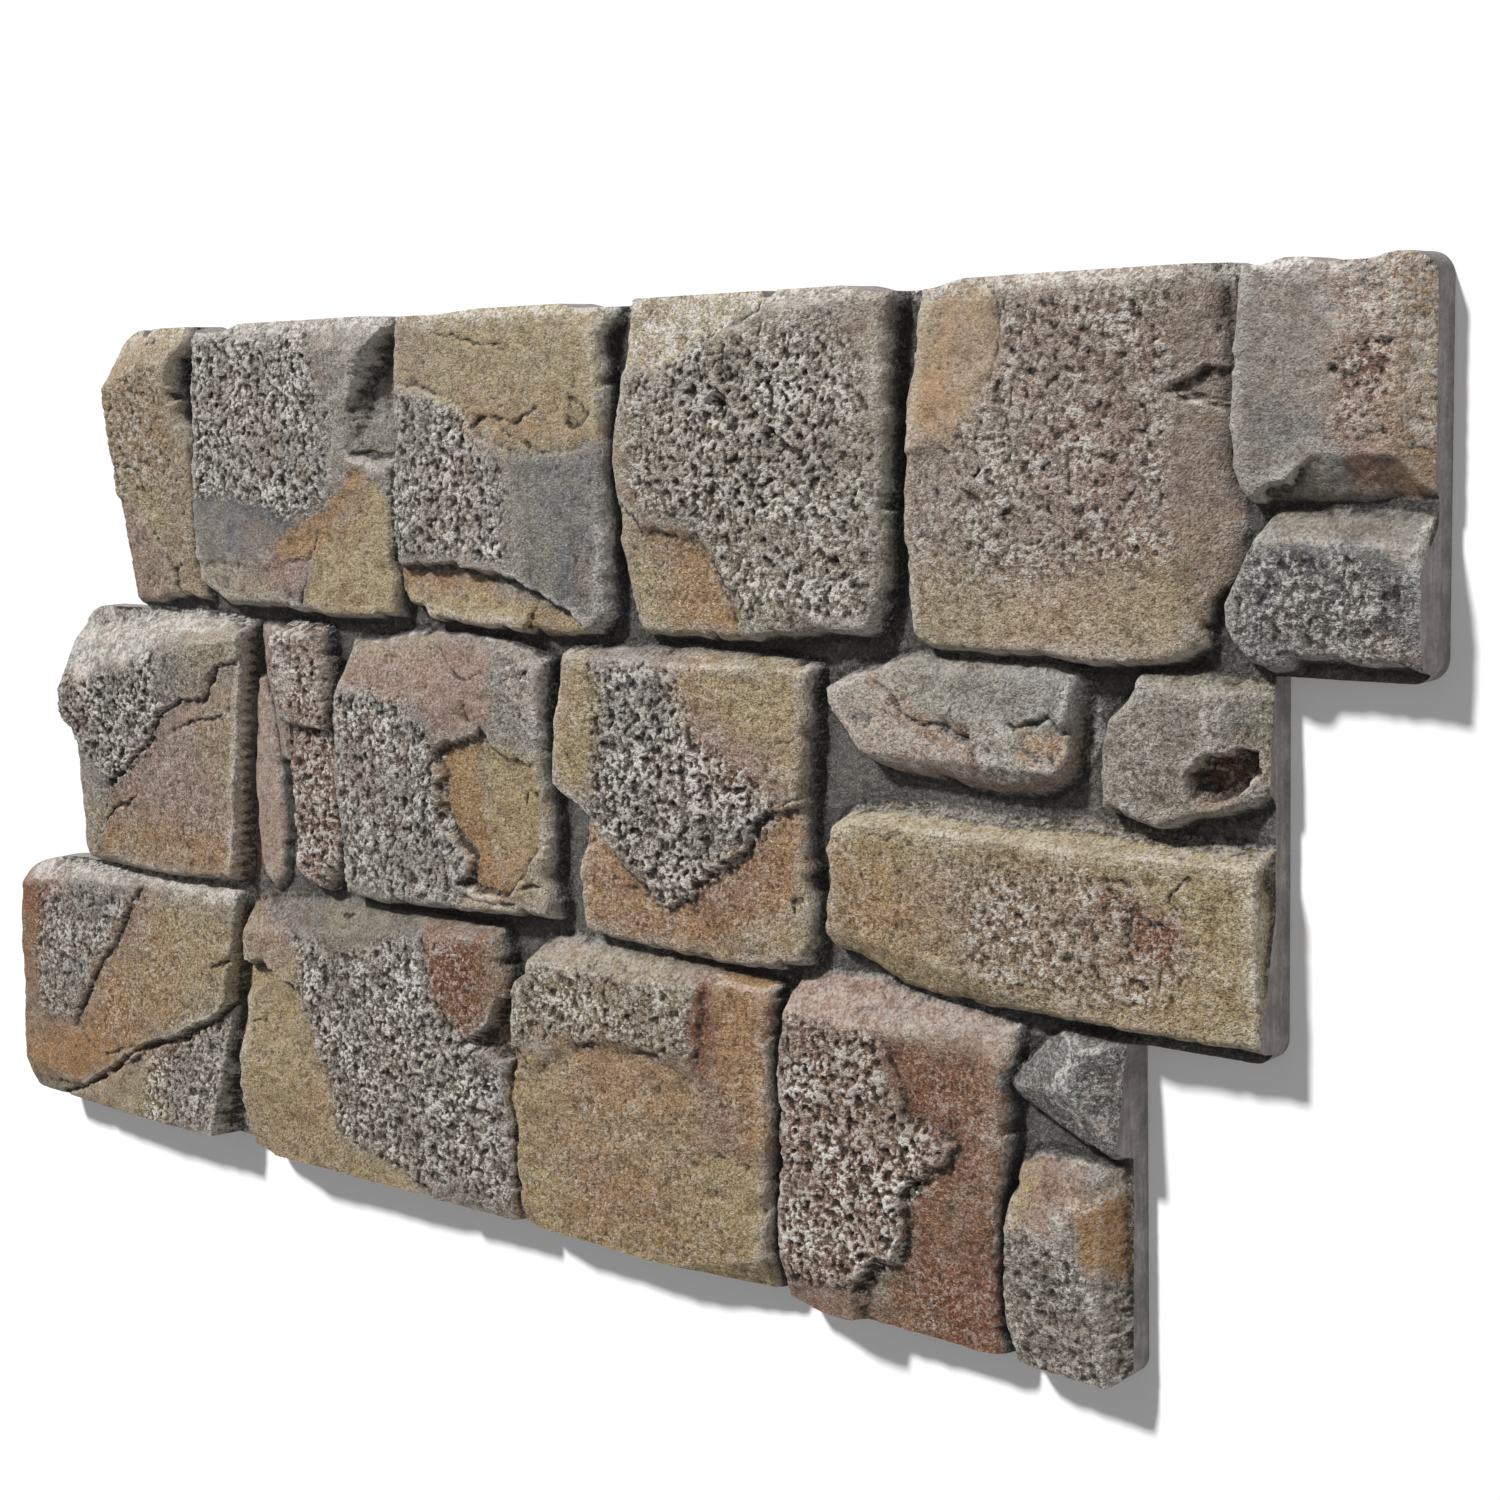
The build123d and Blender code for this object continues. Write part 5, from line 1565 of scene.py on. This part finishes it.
# %% Node group: a sponged coat
sponged, t, given, out = group(
    "sponged_coat",
    {"Place": ("Vector", None), "Below": ("Color", None), "Coat": ("Color", None), "Mask": ("Float", 0.0),
     "Patch Size": ("Float", 70.0), "Spot Size": ("Float", 480.0)},
    {"Colour": "Color"})
patches = t.noise(given["Place"], given["Patch Size"], 4.0, 0.7)
spots = t.noise(given["Place"], given["Spot Size"], 3.0, 0.75)
worn = t.maths("ADD", t.maths("MULTIPLY", patches, 1.3), t.maths("MULTIPLY", spots, 0.9))
uneven = t.maths("SUBTRACT", worn, 1.1)
full = t.maths("MULTIPLY", given["Mask"], 1.2)
cover = t.maths("ADD", full, t.maths("MULTIPLY", uneven, t.range(given["Mask"], 0.0, 0.4)), True)
t.put(out, "Colour", t.mix(t.maths("MULTIPLY", cover, 0.92), given["Below"], given["Coat"]))
print("group made:", sponged.name)

# %% [markdown]
# The wash is thin dark paint that runs off the high places, and it is also painted
# shade in the creases, pits and joints. The dry brush does the opposite and only
# touches what stands out, and it is also painted highlight on edges, rims and grain
# tips, so both read the same measures of how far a place lies above or below its
# near and its wider surroundings. The brush also catches the tips of the grain, most
# where the face is rough, and lays pale paint where the coats put chalk, which is
# also painted highlight, and a painted highlight along the head edge.

# %% Node group: dark wash and painted shade in the low places
washed_and_shaded, t, given, out = group(
    "dark_wash_and_shade",
    {"Place": ("Vector", None), "Below": ("Color", None), "Wash": ("Color", None), "Near": ("Float", 0.5),
     "Wide": ("Float", 0.5), "Grain": ("Float", 0.5), "Strength": ("Float", 0.7)},
    {"Colour": "Color"})
# The wash is also painted shade: it darkens the creases, the feet of the walls and the pits of the grain,
# where shade falls.
pooled_and_shaded = t.range(given["Near"], 0.48, 0.3)
sunk = t.maths("MULTIPLY", t.range(given["Wide"], 0.47, 0.2), 0.7)
pits = t.range(given["Grain"], 0.46, 0.34)
uneven = t.range(t.noise(given["Place"], 300.0, 3.0, 0.7), 0.35, 0.65, 0.6, 1.0)
both = t.maths("MAXIMUM", t.maths("MAXIMUM", pooled_and_shaded, sunk), pits)
held = t.maths("MULTIPLY", t.maths("MULTIPLY", both, uneven), given["Strength"], True)
t.put(out, "Colour", t.mix(held, given["Below"], given["Wash"]))

# %% Node group: pale paint dragged over the high places, and painted highlight
brushed_and_lit, t, given, out = group(
    "dry_brush_and_highlight",
    {"Place": ("Vector", None), "Below": ("Color", None), "Pale": ("Color", None), "Grain": ("Float", 0.5),
     "Near": ("Float", 0.5), "Wide": ("Float", 0.5), "Rough": ("Float", 0.5), "Extra": ("Float", 0.0),
     "Strength": ("Float", 0.8)},
    {"Colour": "Color"})
fine = t.noise(given["Place"], 440.0, 3.0, 0.75)
tips = t.maths("ADD", given["Grain"], t.maths("MULTIPLY", t.maths("SUBTRACT", fine, 0.5), 0.6))
caught = t.maths("MULTIPLY", t.range(tips, 0.515, 0.575), t.range(given["Rough"], 0.35, 1.0, 0.12, 1.0))
swept = t.range(t.noise(given["Place"], 26.0, 3.0, 0.6), 0.38, 0.6, 0.3, 1.0)
# The ridge and the edge are dry brushed paint and also painted highlight on the raised rims of stones and
# clefts.
ridge = t.maths("MULTIPLY", t.range(given["Wide"], 0.56, 0.72), t.range(fine, 0.42, 0.58))
edge = t.maths("MULTIPLY", t.range(given["Near"], 0.62, 0.8), t.range(fine, 0.42, 0.54, 0.1, 0.6))
high = t.maths("MAXIMUM", edge, t.maths("MULTIPLY", ridge, 0.5))
pale_reach = t.maths("MULTIPLY", t.maths("MAXIMUM", caught, high), swept)
blotches = t.noise(given["Place"], 110.0, 3.0, 0.7)
blotchy_pale = t.range(t.maths("ADD", fine, blotches), 0.9, 1.15, 0.05, 0.8)
# Where the coats laid chalk, and along the head edge, this pale paint is painted highlight as well.
pale_and_lit = t.maths("MULTIPLY", given["Extra"], blotchy_pale)
held = t.maths("MAXIMUM", t.maths("MULTIPLY", pale_reach, given["Strength"]), pale_and_lit, True)
t.put(out, "Colour", t.mix(held, given["Below"], given["Pale"]))
print("groups made:", washed_and_shaded.name, brushed_and_lit.name)

# %% [markdown]
# Moulded foam has a skin with fine grit and small cells in it. The grit is too
# small for the mesh, so it is a bump, and it also mottles the paint a little.

# %% Node group: grit of the moulded skin
gritty, t, given, out = group(
    "foam_grit",
    {"Place": ("Vector", None), "Rough": ("Float", 0.5)},
    {"Height": "Float", "Mottle": "Float", "Speckle": "Float", "Pinholes": "Float"})
fine = t.noise(given["Place"], 900.0, 3.0, 0.65)
coarse = t.noise(given["Place"], 330.0, 3.0, 0.6)
speckle = t.noise(given["Place"], 560.0, 2.0, 0.8)
cells = t.node("ShaderNodeTexVoronoi", {"feature": "F1"}, Vector=given["Place"], Scale=520.0)
pocks = t.range(cells.outputs["Distance"], 0.0, 0.42)
raised = t.maths("ADD", t.maths("MULTIPLY", coarse, 0.9), t.maths("MULTIPLY", fine, 0.7))
t.put(out, "Height", t.maths("MULTIPLY", t.maths("ADD", raised, t.maths("MULTIPLY", pocks, 0.35)),
                             t.range(given["Rough"], 0.0, 1.0, 0.45, 1.5)))
t.put(out, "Mottle", t.maths("ADD", t.maths("MULTIPLY", coarse, 0.5), t.maths("MULTIPLY", fine, 0.5)))
t.put(out, "Speckle", speckle)
holes = t.node("ShaderNodeTexVoronoi", {"feature": "F1"}, Vector=given["Place"], Scale=170.0)
patchy = t.range(t.noise(given["Place"], 45.0, 2.0), 0.45, 0.6)
t.put(out, "Pinholes", t.maths("MULTIPLY", t.range(holes.outputs["Distance"], 0.24, 0.12), patchy))
print("group made:", gritty.name)

# %% [markdown]
# ## The painted face
# The coats go over the grey ground in a fixed order, and the joint colour comes
# after them because the joints were brushed dark between the stones.

# %% Helpers for the three materials


def group_node(tree, made, **inputs):
    """Places a node group with its own values. An underscore in a key is a space in the name."""
    node = tree.node("ShaderNodeGroup", {"node_tree": made})
    for key, value in inputs.items():
        tree.put(node, key.replace("_", " "), value)
    return node.outputs


def attribute(tree, name):
    """The four channels of a colour attribute."""
    node = tree.node("ShaderNodeAttribute", {"attribute_name": name})
    split = tree.node("ShaderNodeSeparateColor", None, Color=node.outputs["Color"])
    return [split.outputs[0], split.outputs[1], split.outputs[2], node.outputs["Alpha"]]


def finish_surface(tree, colour, roughness, height, distance):
    """Principled surface with a bump of the given height in metres."""
    bump = tree.node("ShaderNodeBump", None, Strength=1.0, Distance=distance, Height=height)
    shader = tree.node("ShaderNodeBsdfPrincipled", None, Base_Color=colour, Roughness=roughness,
                       Normal=bump.outputs["Normal"])
    shader.inputs["Specular IOR Level"].default_value = 0.25
    output = tree.node("ShaderNodeOutputMaterial")
    tree.tree.links.new(shader.outputs["BSDF"], output.inputs["Surface"])


def new_material(name):
    """An empty material and its tree."""
    made = bpy.data.materials.new(name)
    made.use_nodes = True
    return made, Tree(made.node_tree)


print("attributes on each piece:", [layer.name for layer in piece_list[0].data.color_attributes])

# %% Colours of the paints, as they look on screen
paint_colours = {
    "dark ground": (128, 125, 121), "pale ground": (163, 159, 154), "warm ground": (164, 142, 124),
    "tan": (176, 157, 117), "ochre": (170, 132, 87), "rust": (130, 80, 52), "rose": (162, 134, 120),
    "slate": (95, 98, 102),
    "rosy drift": (176, 144, 122), "olive drift": (158, 150, 118), "stain": (196, 180, 164),
    "dark spot": (118, 102, 90), "pale spot": (226, 214, 192), "pinhole": (70, 58, 48),
    "brown foot": (220, 202, 182), "paler head": (222, 214, 202),
    "dark joint": (64, 61, 59), "pale joint": (92, 88, 85), "joint dust": (126, 121, 115),
    "wash_and_shade": (28, 25, 23), "dry brush and highlight": (243, 238, 230),
    "dark end": (146, 139, 137), "pale end": (178, 171, 168), "end line": (104, 97, 95),
    "end mottle": (60, 54, 54),
    "dark foam": (196, 184, 152), "pale foam": (214, 204, 176), "foam cell": (150, 136, 104),
}
shade = {name: linear(*levels) for name, levels in paint_colours.items()}
print("colours:", len(shade))

# %% Material of the painted face: ground and coats
face_paint, t = new_material("painted_face")
place = t.node("ShaderNodeTexCoord").outputs["Object"]
tan, ochre, rust, rose = attribute(t, "coats")
# The chalk channel is pale paint and also painted highlight on the lit upper edges.
slate, chalk_and_highlight, roughness_here, joint_here = attribute(t, "ground")
near, wide, grain_up = attribute(t, "local_relief")[:3]
cloudy = t.noise(place, 38.0, 4.0, 0.6)
ground = t.mix(t.range(cloudy, 0.38, 0.62), shade["dark ground"], shade["pale ground"])
ground = t.mix(t.maths("MULTIPLY", t.range(t.noise(place, 95.0, 3.0), 0.45, 0.7), 0.3), ground,
               shade["warm ground"])
colour = ground
coats = {"tan": tan, "ochre": ochre, "rust": rust, "rose": rose, "slate": slate}
for paint, mask in coats.items():
    colour = group_node(t, sponged, Place=place, Below=colour, Coat=shade[paint], Mask=mask)["Colour"]
print("nodes for the ground and the coats:", len(face_paint.node_tree.nodes))

# %% [markdown]
# Paint that was thinned with water leaves stains, and the sponge leaves spots.
# The board is also darker and browner toward its foot, and paler toward its
# head.

# %% Material of the painted face: stains and spots
grit = group_node(t, gritty, Place=place, Rough=roughness_here)
drift = t.noise(place, 15.0, 2.0, 0.5)
colour = t.mix(t.range(drift, 0.52, 0.66, 0.0, 0.25), colour, shade["rosy drift"])
colour = t.mix(t.range(drift, 0.48, 0.34, 0.0, 0.25), colour, shade["olive drift"])
dark_flecks = t.maths("MULTIPLY", t.range(grit["Speckle"], 0.48, 0.38, 0.0, 0.9),
                      t.range(roughness_here, 0.2, 0.7, 0.6, 1.0))
pale_flecks = t.maths("MULTIPLY", t.range(grit["Speckle"], 0.56, 0.66, 0.0, 0.6),
                      t.range(roughness_here, 0.2, 0.7, 0.45, 1.0))
colour = t.mix(dark_flecks, colour, shade["dark spot"], "MULTIPLY")
colour = t.mix(pale_flecks, colour, shade["pale spot"])
stained = t.range(t.noise(place, 85.0, 3.0, 0.6), 0.5, 0.36, 0.0, 0.6)
colour = t.mix(stained, colour, shade["stain"], "MULTIPLY")
colour = t.mix(t.maths("MULTIPLY", grit["Pinholes"], 0.8), colour, shade["pinhole"])
up_the_wall = t.node("ShaderNodeSeparateXYZ", None, Vector=place).outputs["Y"]
# Darker and browner toward the foot, and a little paler toward the head.
colour = t.mix(t.range(up_the_wall, 0.05, -0.26, 0.0, 0.35), colour, shade["brown foot"], "MULTIPLY")
colour = t.mix(t.range(up_the_wall, 0.02, 0.28, 0.0, 0.1), colour, shade["paler head"])
print("nodes with the stains and spots:", len(face_paint.node_tree.nodes))

# %% Material of the painted face: joints, wash and dry brush
joint_mask = t.range(t.maths("ADD", joint_here, t.maths("MULTIPLY", cloudy, 0.3)), 0.45, 1.0)
joint_tone = t.mix(t.range(cloudy, 0.4, 0.6), shade["dark joint"], shade["pale joint"])
joint_tone = t.mix(t.range(grit["Speckle"], 0.46, 0.66), joint_tone, shade["joint dust"])
colour = t.mix(joint_mask, colour, joint_tone)
# A painted highlight along the head edge of the board, whose upper shoulders face the light.
head_highlight = t.range(up_the_wall, 0.286, 0.295, 0.0, 0.9)
wash_and_shade = group_node(t, washed_and_shaded, Place=place, Below=colour, Wash=shade["wash_and_shade"], Near=near, Wide=wide,
                  Grain=grain_up, Strength=1.0)
pale = group_node(t, brushed_and_lit, Place=place, Below=wash_and_shade["Colour"], Pale=shade["dry brush and highlight"], Grain=grain_up,
                  Near=near, Wide=wide, Rough=roughness_here, Extra=t.maths("MAXIMUM", chalk_and_highlight, head_highlight),
                  Strength=0.92)
colour = pale["Colour"]
dullness = t.range(t.noise(place, 260.0, 3.0), 0.3, 0.7, 0.68, 0.86)
finish_surface(t, colour, dullness, grit["Height"], 0.002)
print("material made:", face_paint.name)

# %% [markdown]
# ## The ends and the back
# The flat ends have one coat of plain grey, and the mould left faint lines on
# them. The back is bare foam skin, paler, with small closed cells.

# %% Material of the ends
end_paint, t = new_material("painted_ends")
place = t.node("ShaderNodeTexCoord").outputs["Object"]
grit = group_node(t, gritty, Place=place, Rough=0.4)
stretched = t.node("ShaderNodeMapping", {"vector_type": "POINT"}, Vector=place)
stretched.inputs["Scale"].default_value = (30.0, 30.0, 260.0)
lines = t.noise(stretched.outputs[0], 1.0, 3.0, 0.6)
tone = t.mix(t.range(t.noise(place, 70.0, 4.0), 0.38, 0.64), shade["dark end"], shade["pale end"])
tone = t.mix(t.range(lines, 0.42, 0.62, 0.0, 0.4), tone, shade["end line"])
tone = t.mix(t.range(grit["Mottle"], 0.4, 0.65, 0.0, 0.3), tone, shade["end mottle"], "MULTIPLY")
height = t.maths("ADD", grit["Height"], t.maths("MULTIPLY", lines, 0.5))
finish_surface(t, tone, 0.82, height, 0.0006)
print("material made:", end_paint.name)

# %% Material of the back
back_foam, t = new_material("bare_foam_back")
place = t.node("ShaderNodeTexCoord").outputs["Object"]
cells = t.node("ShaderNodeTexVoronoi", {"feature": "F1"}, Vector=place, Scale=700.0)
swirl = t.noise(place, 9.0, 5.0, 0.6)
skin = t.mix(t.range(swirl, 0.35, 0.65), shade["dark foam"], shade["pale foam"])
skin = t.mix(t.range(cells.outputs["Distance"], 0.0, 0.35, 0.35, 0.0), skin, shade["foam cell"])
finish_surface(t, skin, 0.75, cells.outputs["Distance"], 0.0004)

for piece in piece_list:
    for made in (face_paint, end_paint, back_foam):
        piece.data.materials.append(made)
print("materials on each piece:", [m.name for m in piece_list[0].data.materials])

# %% [markdown]
# ## Camera, floor and light
# The camera stands where the fit put it and aims at a point on the plane of the
# board's back, given in the board's millimetres. The board's height is upright in
# the view but for a small roll, in degrees. The light in the photograph comes from
# beyond the head of the board, a little from the left, about 40 degrees above
# its face: it bleaches the upper shoulders of the stones and leaves their feet dark.

# %% Camera as fitted
film_width, focal_length = 36.0, 58.2
nearest, farthest = 0.05, 50.0
camera_aim = np.array([751.7, 328.29, 0.0])
camera_roll = -1.683
camera_data = bpy.data.cameras.new("camera")
camera = bpy.data.objects.new("camera", camera_data)
bpy.context.scene.collection.objects.link(camera)
camera_data.sensor_width = film_width
camera_data.lens = focal_length
camera_data.clip_start, camera_data.clip_end = nearest, farthest
seen_from = [(c - o) / metre for c, o in zip(camera_place, (panel_length / 2, panel_height / 2, 0.0))]
back = Vector(camera_place - camera_aim).normalized()
level = Vector((0, 1, 0)).cross(back).normalized()
upright = Matrix((level, back.cross(level), back)).transposed().to_4x4()
rolled = Matrix.Rotation(math.radians(camera_roll), 4, back)
camera.matrix_world = Matrix.Translation(Vector(seen_from)) @ rolled @ upright
bpy.context.scene.camera = camera
print("camera at", [round(v, 4) for v in seen_from])

# %% [markdown]
# The floor is white to the camera where light falls on it and keeps the board's
# soft shadow. Other rays meet an ordinary pale floor, so it adds little to the
# light on the board. What the camera sees of the floor gets a glow that makes up
# for the light that is missing to full white. To the camera the sky is white too.

# %% Floor
key_light, fill_light, sky_light = 0.77, 0.07, 0.16
white_level = 1.05
floor_grey = (0.55, 0.55, 0.55, 1.0)
white = (1.0, 1.0, 1.0, 1.0)
floor_drop = 0.0003
half = 6.0


def seen_by_camera(tree):
    """1 for rays from the camera, also by way of gloss or glass, and 0 for all others."""
    path = tree.node("ShaderNodeLightPath")
    behind = tree.maths("MAXIMUM", path.outputs["Is Glossy Ray"], path.outputs["Is Transmission Ray"])
    return tree.maths("MAXIMUM", path.outputs["Is Camera Ray"], behind)


floor_mesh = bpy.data.meshes.new("floor")
floor_mesh.from_pydata([(-half, -half, -floor_drop), (half, -half, -floor_drop), (half, half, -floor_drop),
                        (-half, half, -floor_drop)], [], [(0, 1, 2, 3)])
floor = bpy.data.objects.new("floor", floor_mesh)
bpy.context.scene.collection.objects.link(floor)

floor_paint, t = new_material("studio_floor")
seen = seen_by_camera(t)
matt = t.node("ShaderNodeBsdfDiffuse", None, Color=t.mix(seen, floor_grey, white))
missing = white_level - key_light - fill_light - sky_light
glow = t.node("ShaderNodeEmission", None, Color=white, Strength=t.maths("MULTIPLY", seen, missing))
both = t.node("ShaderNodeAddShader", None, in_0=matt.outputs[0], in_1=glow.outputs[0])
t.node("ShaderNodeOutputMaterial", None, Surface=both.outputs[0])
floor_mesh.materials.append(floor_paint)
print("light on a white floor:", key_light + fill_light + sky_light)

# %% Sky
world = bpy.data.worlds.new("studio")
world.use_nodes = True
bpy.context.scene.world = world
t = Tree(world.node_tree)
sky = t.node("ShaderNodeBackground", None, Color=white,
             Strength=t.range(seen_by_camera(t), 0.0, 1.0, sky_light, 1.0))
t.node("ShaderNodeOutputWorld", None, Surface=sky.outputs[0])
print("sky made:", world.name)

# %% [markdown]
# Two suns light the board. The key sun is a little soft, as the shadows under the
# stones are. The fill sun is weak and very wide, and it lifts the right ends.

# %% Suns
key_elevation, key_azimuth, key_width = 41.0, 110.0, 6.0
fill_elevation, fill_azimuth, fill_width = 24.0, -12.0, 60.0


def sun(name, strength, elevation, azimuth, width):
    """A sun that puts the given light on a level floor, from the given direction in degrees."""
    elevation, azimuth = math.radians(elevation), math.radians(azimuth)
    from_there = Vector((math.cos(azimuth) * math.cos(elevation), math.sin(azimuth) * math.cos(elevation),
                         math.sin(elevation)))
    data = bpy.data.lights.new(name, "SUN")
    data.energy = strength * math.pi / math.sin(elevation)
    data.angle = math.radians(width)
    lamp = bpy.data.objects.new(name, data)
    lamp.rotation_mode = "QUATERNION"
    lamp.rotation_quaternion = from_there.to_track_quat("Z", "Y")
    bpy.context.scene.collection.objects.link(lamp)


sun("key", key_light, key_elevation, key_azimuth, key_width)
sun("fill", fill_light, fill_elevation, fill_azimuth, fill_width)
bpy.context.scene.view_settings.view_transform = "Standard"
print("suns:", [lamp.name for lamp in bpy.data.lights])
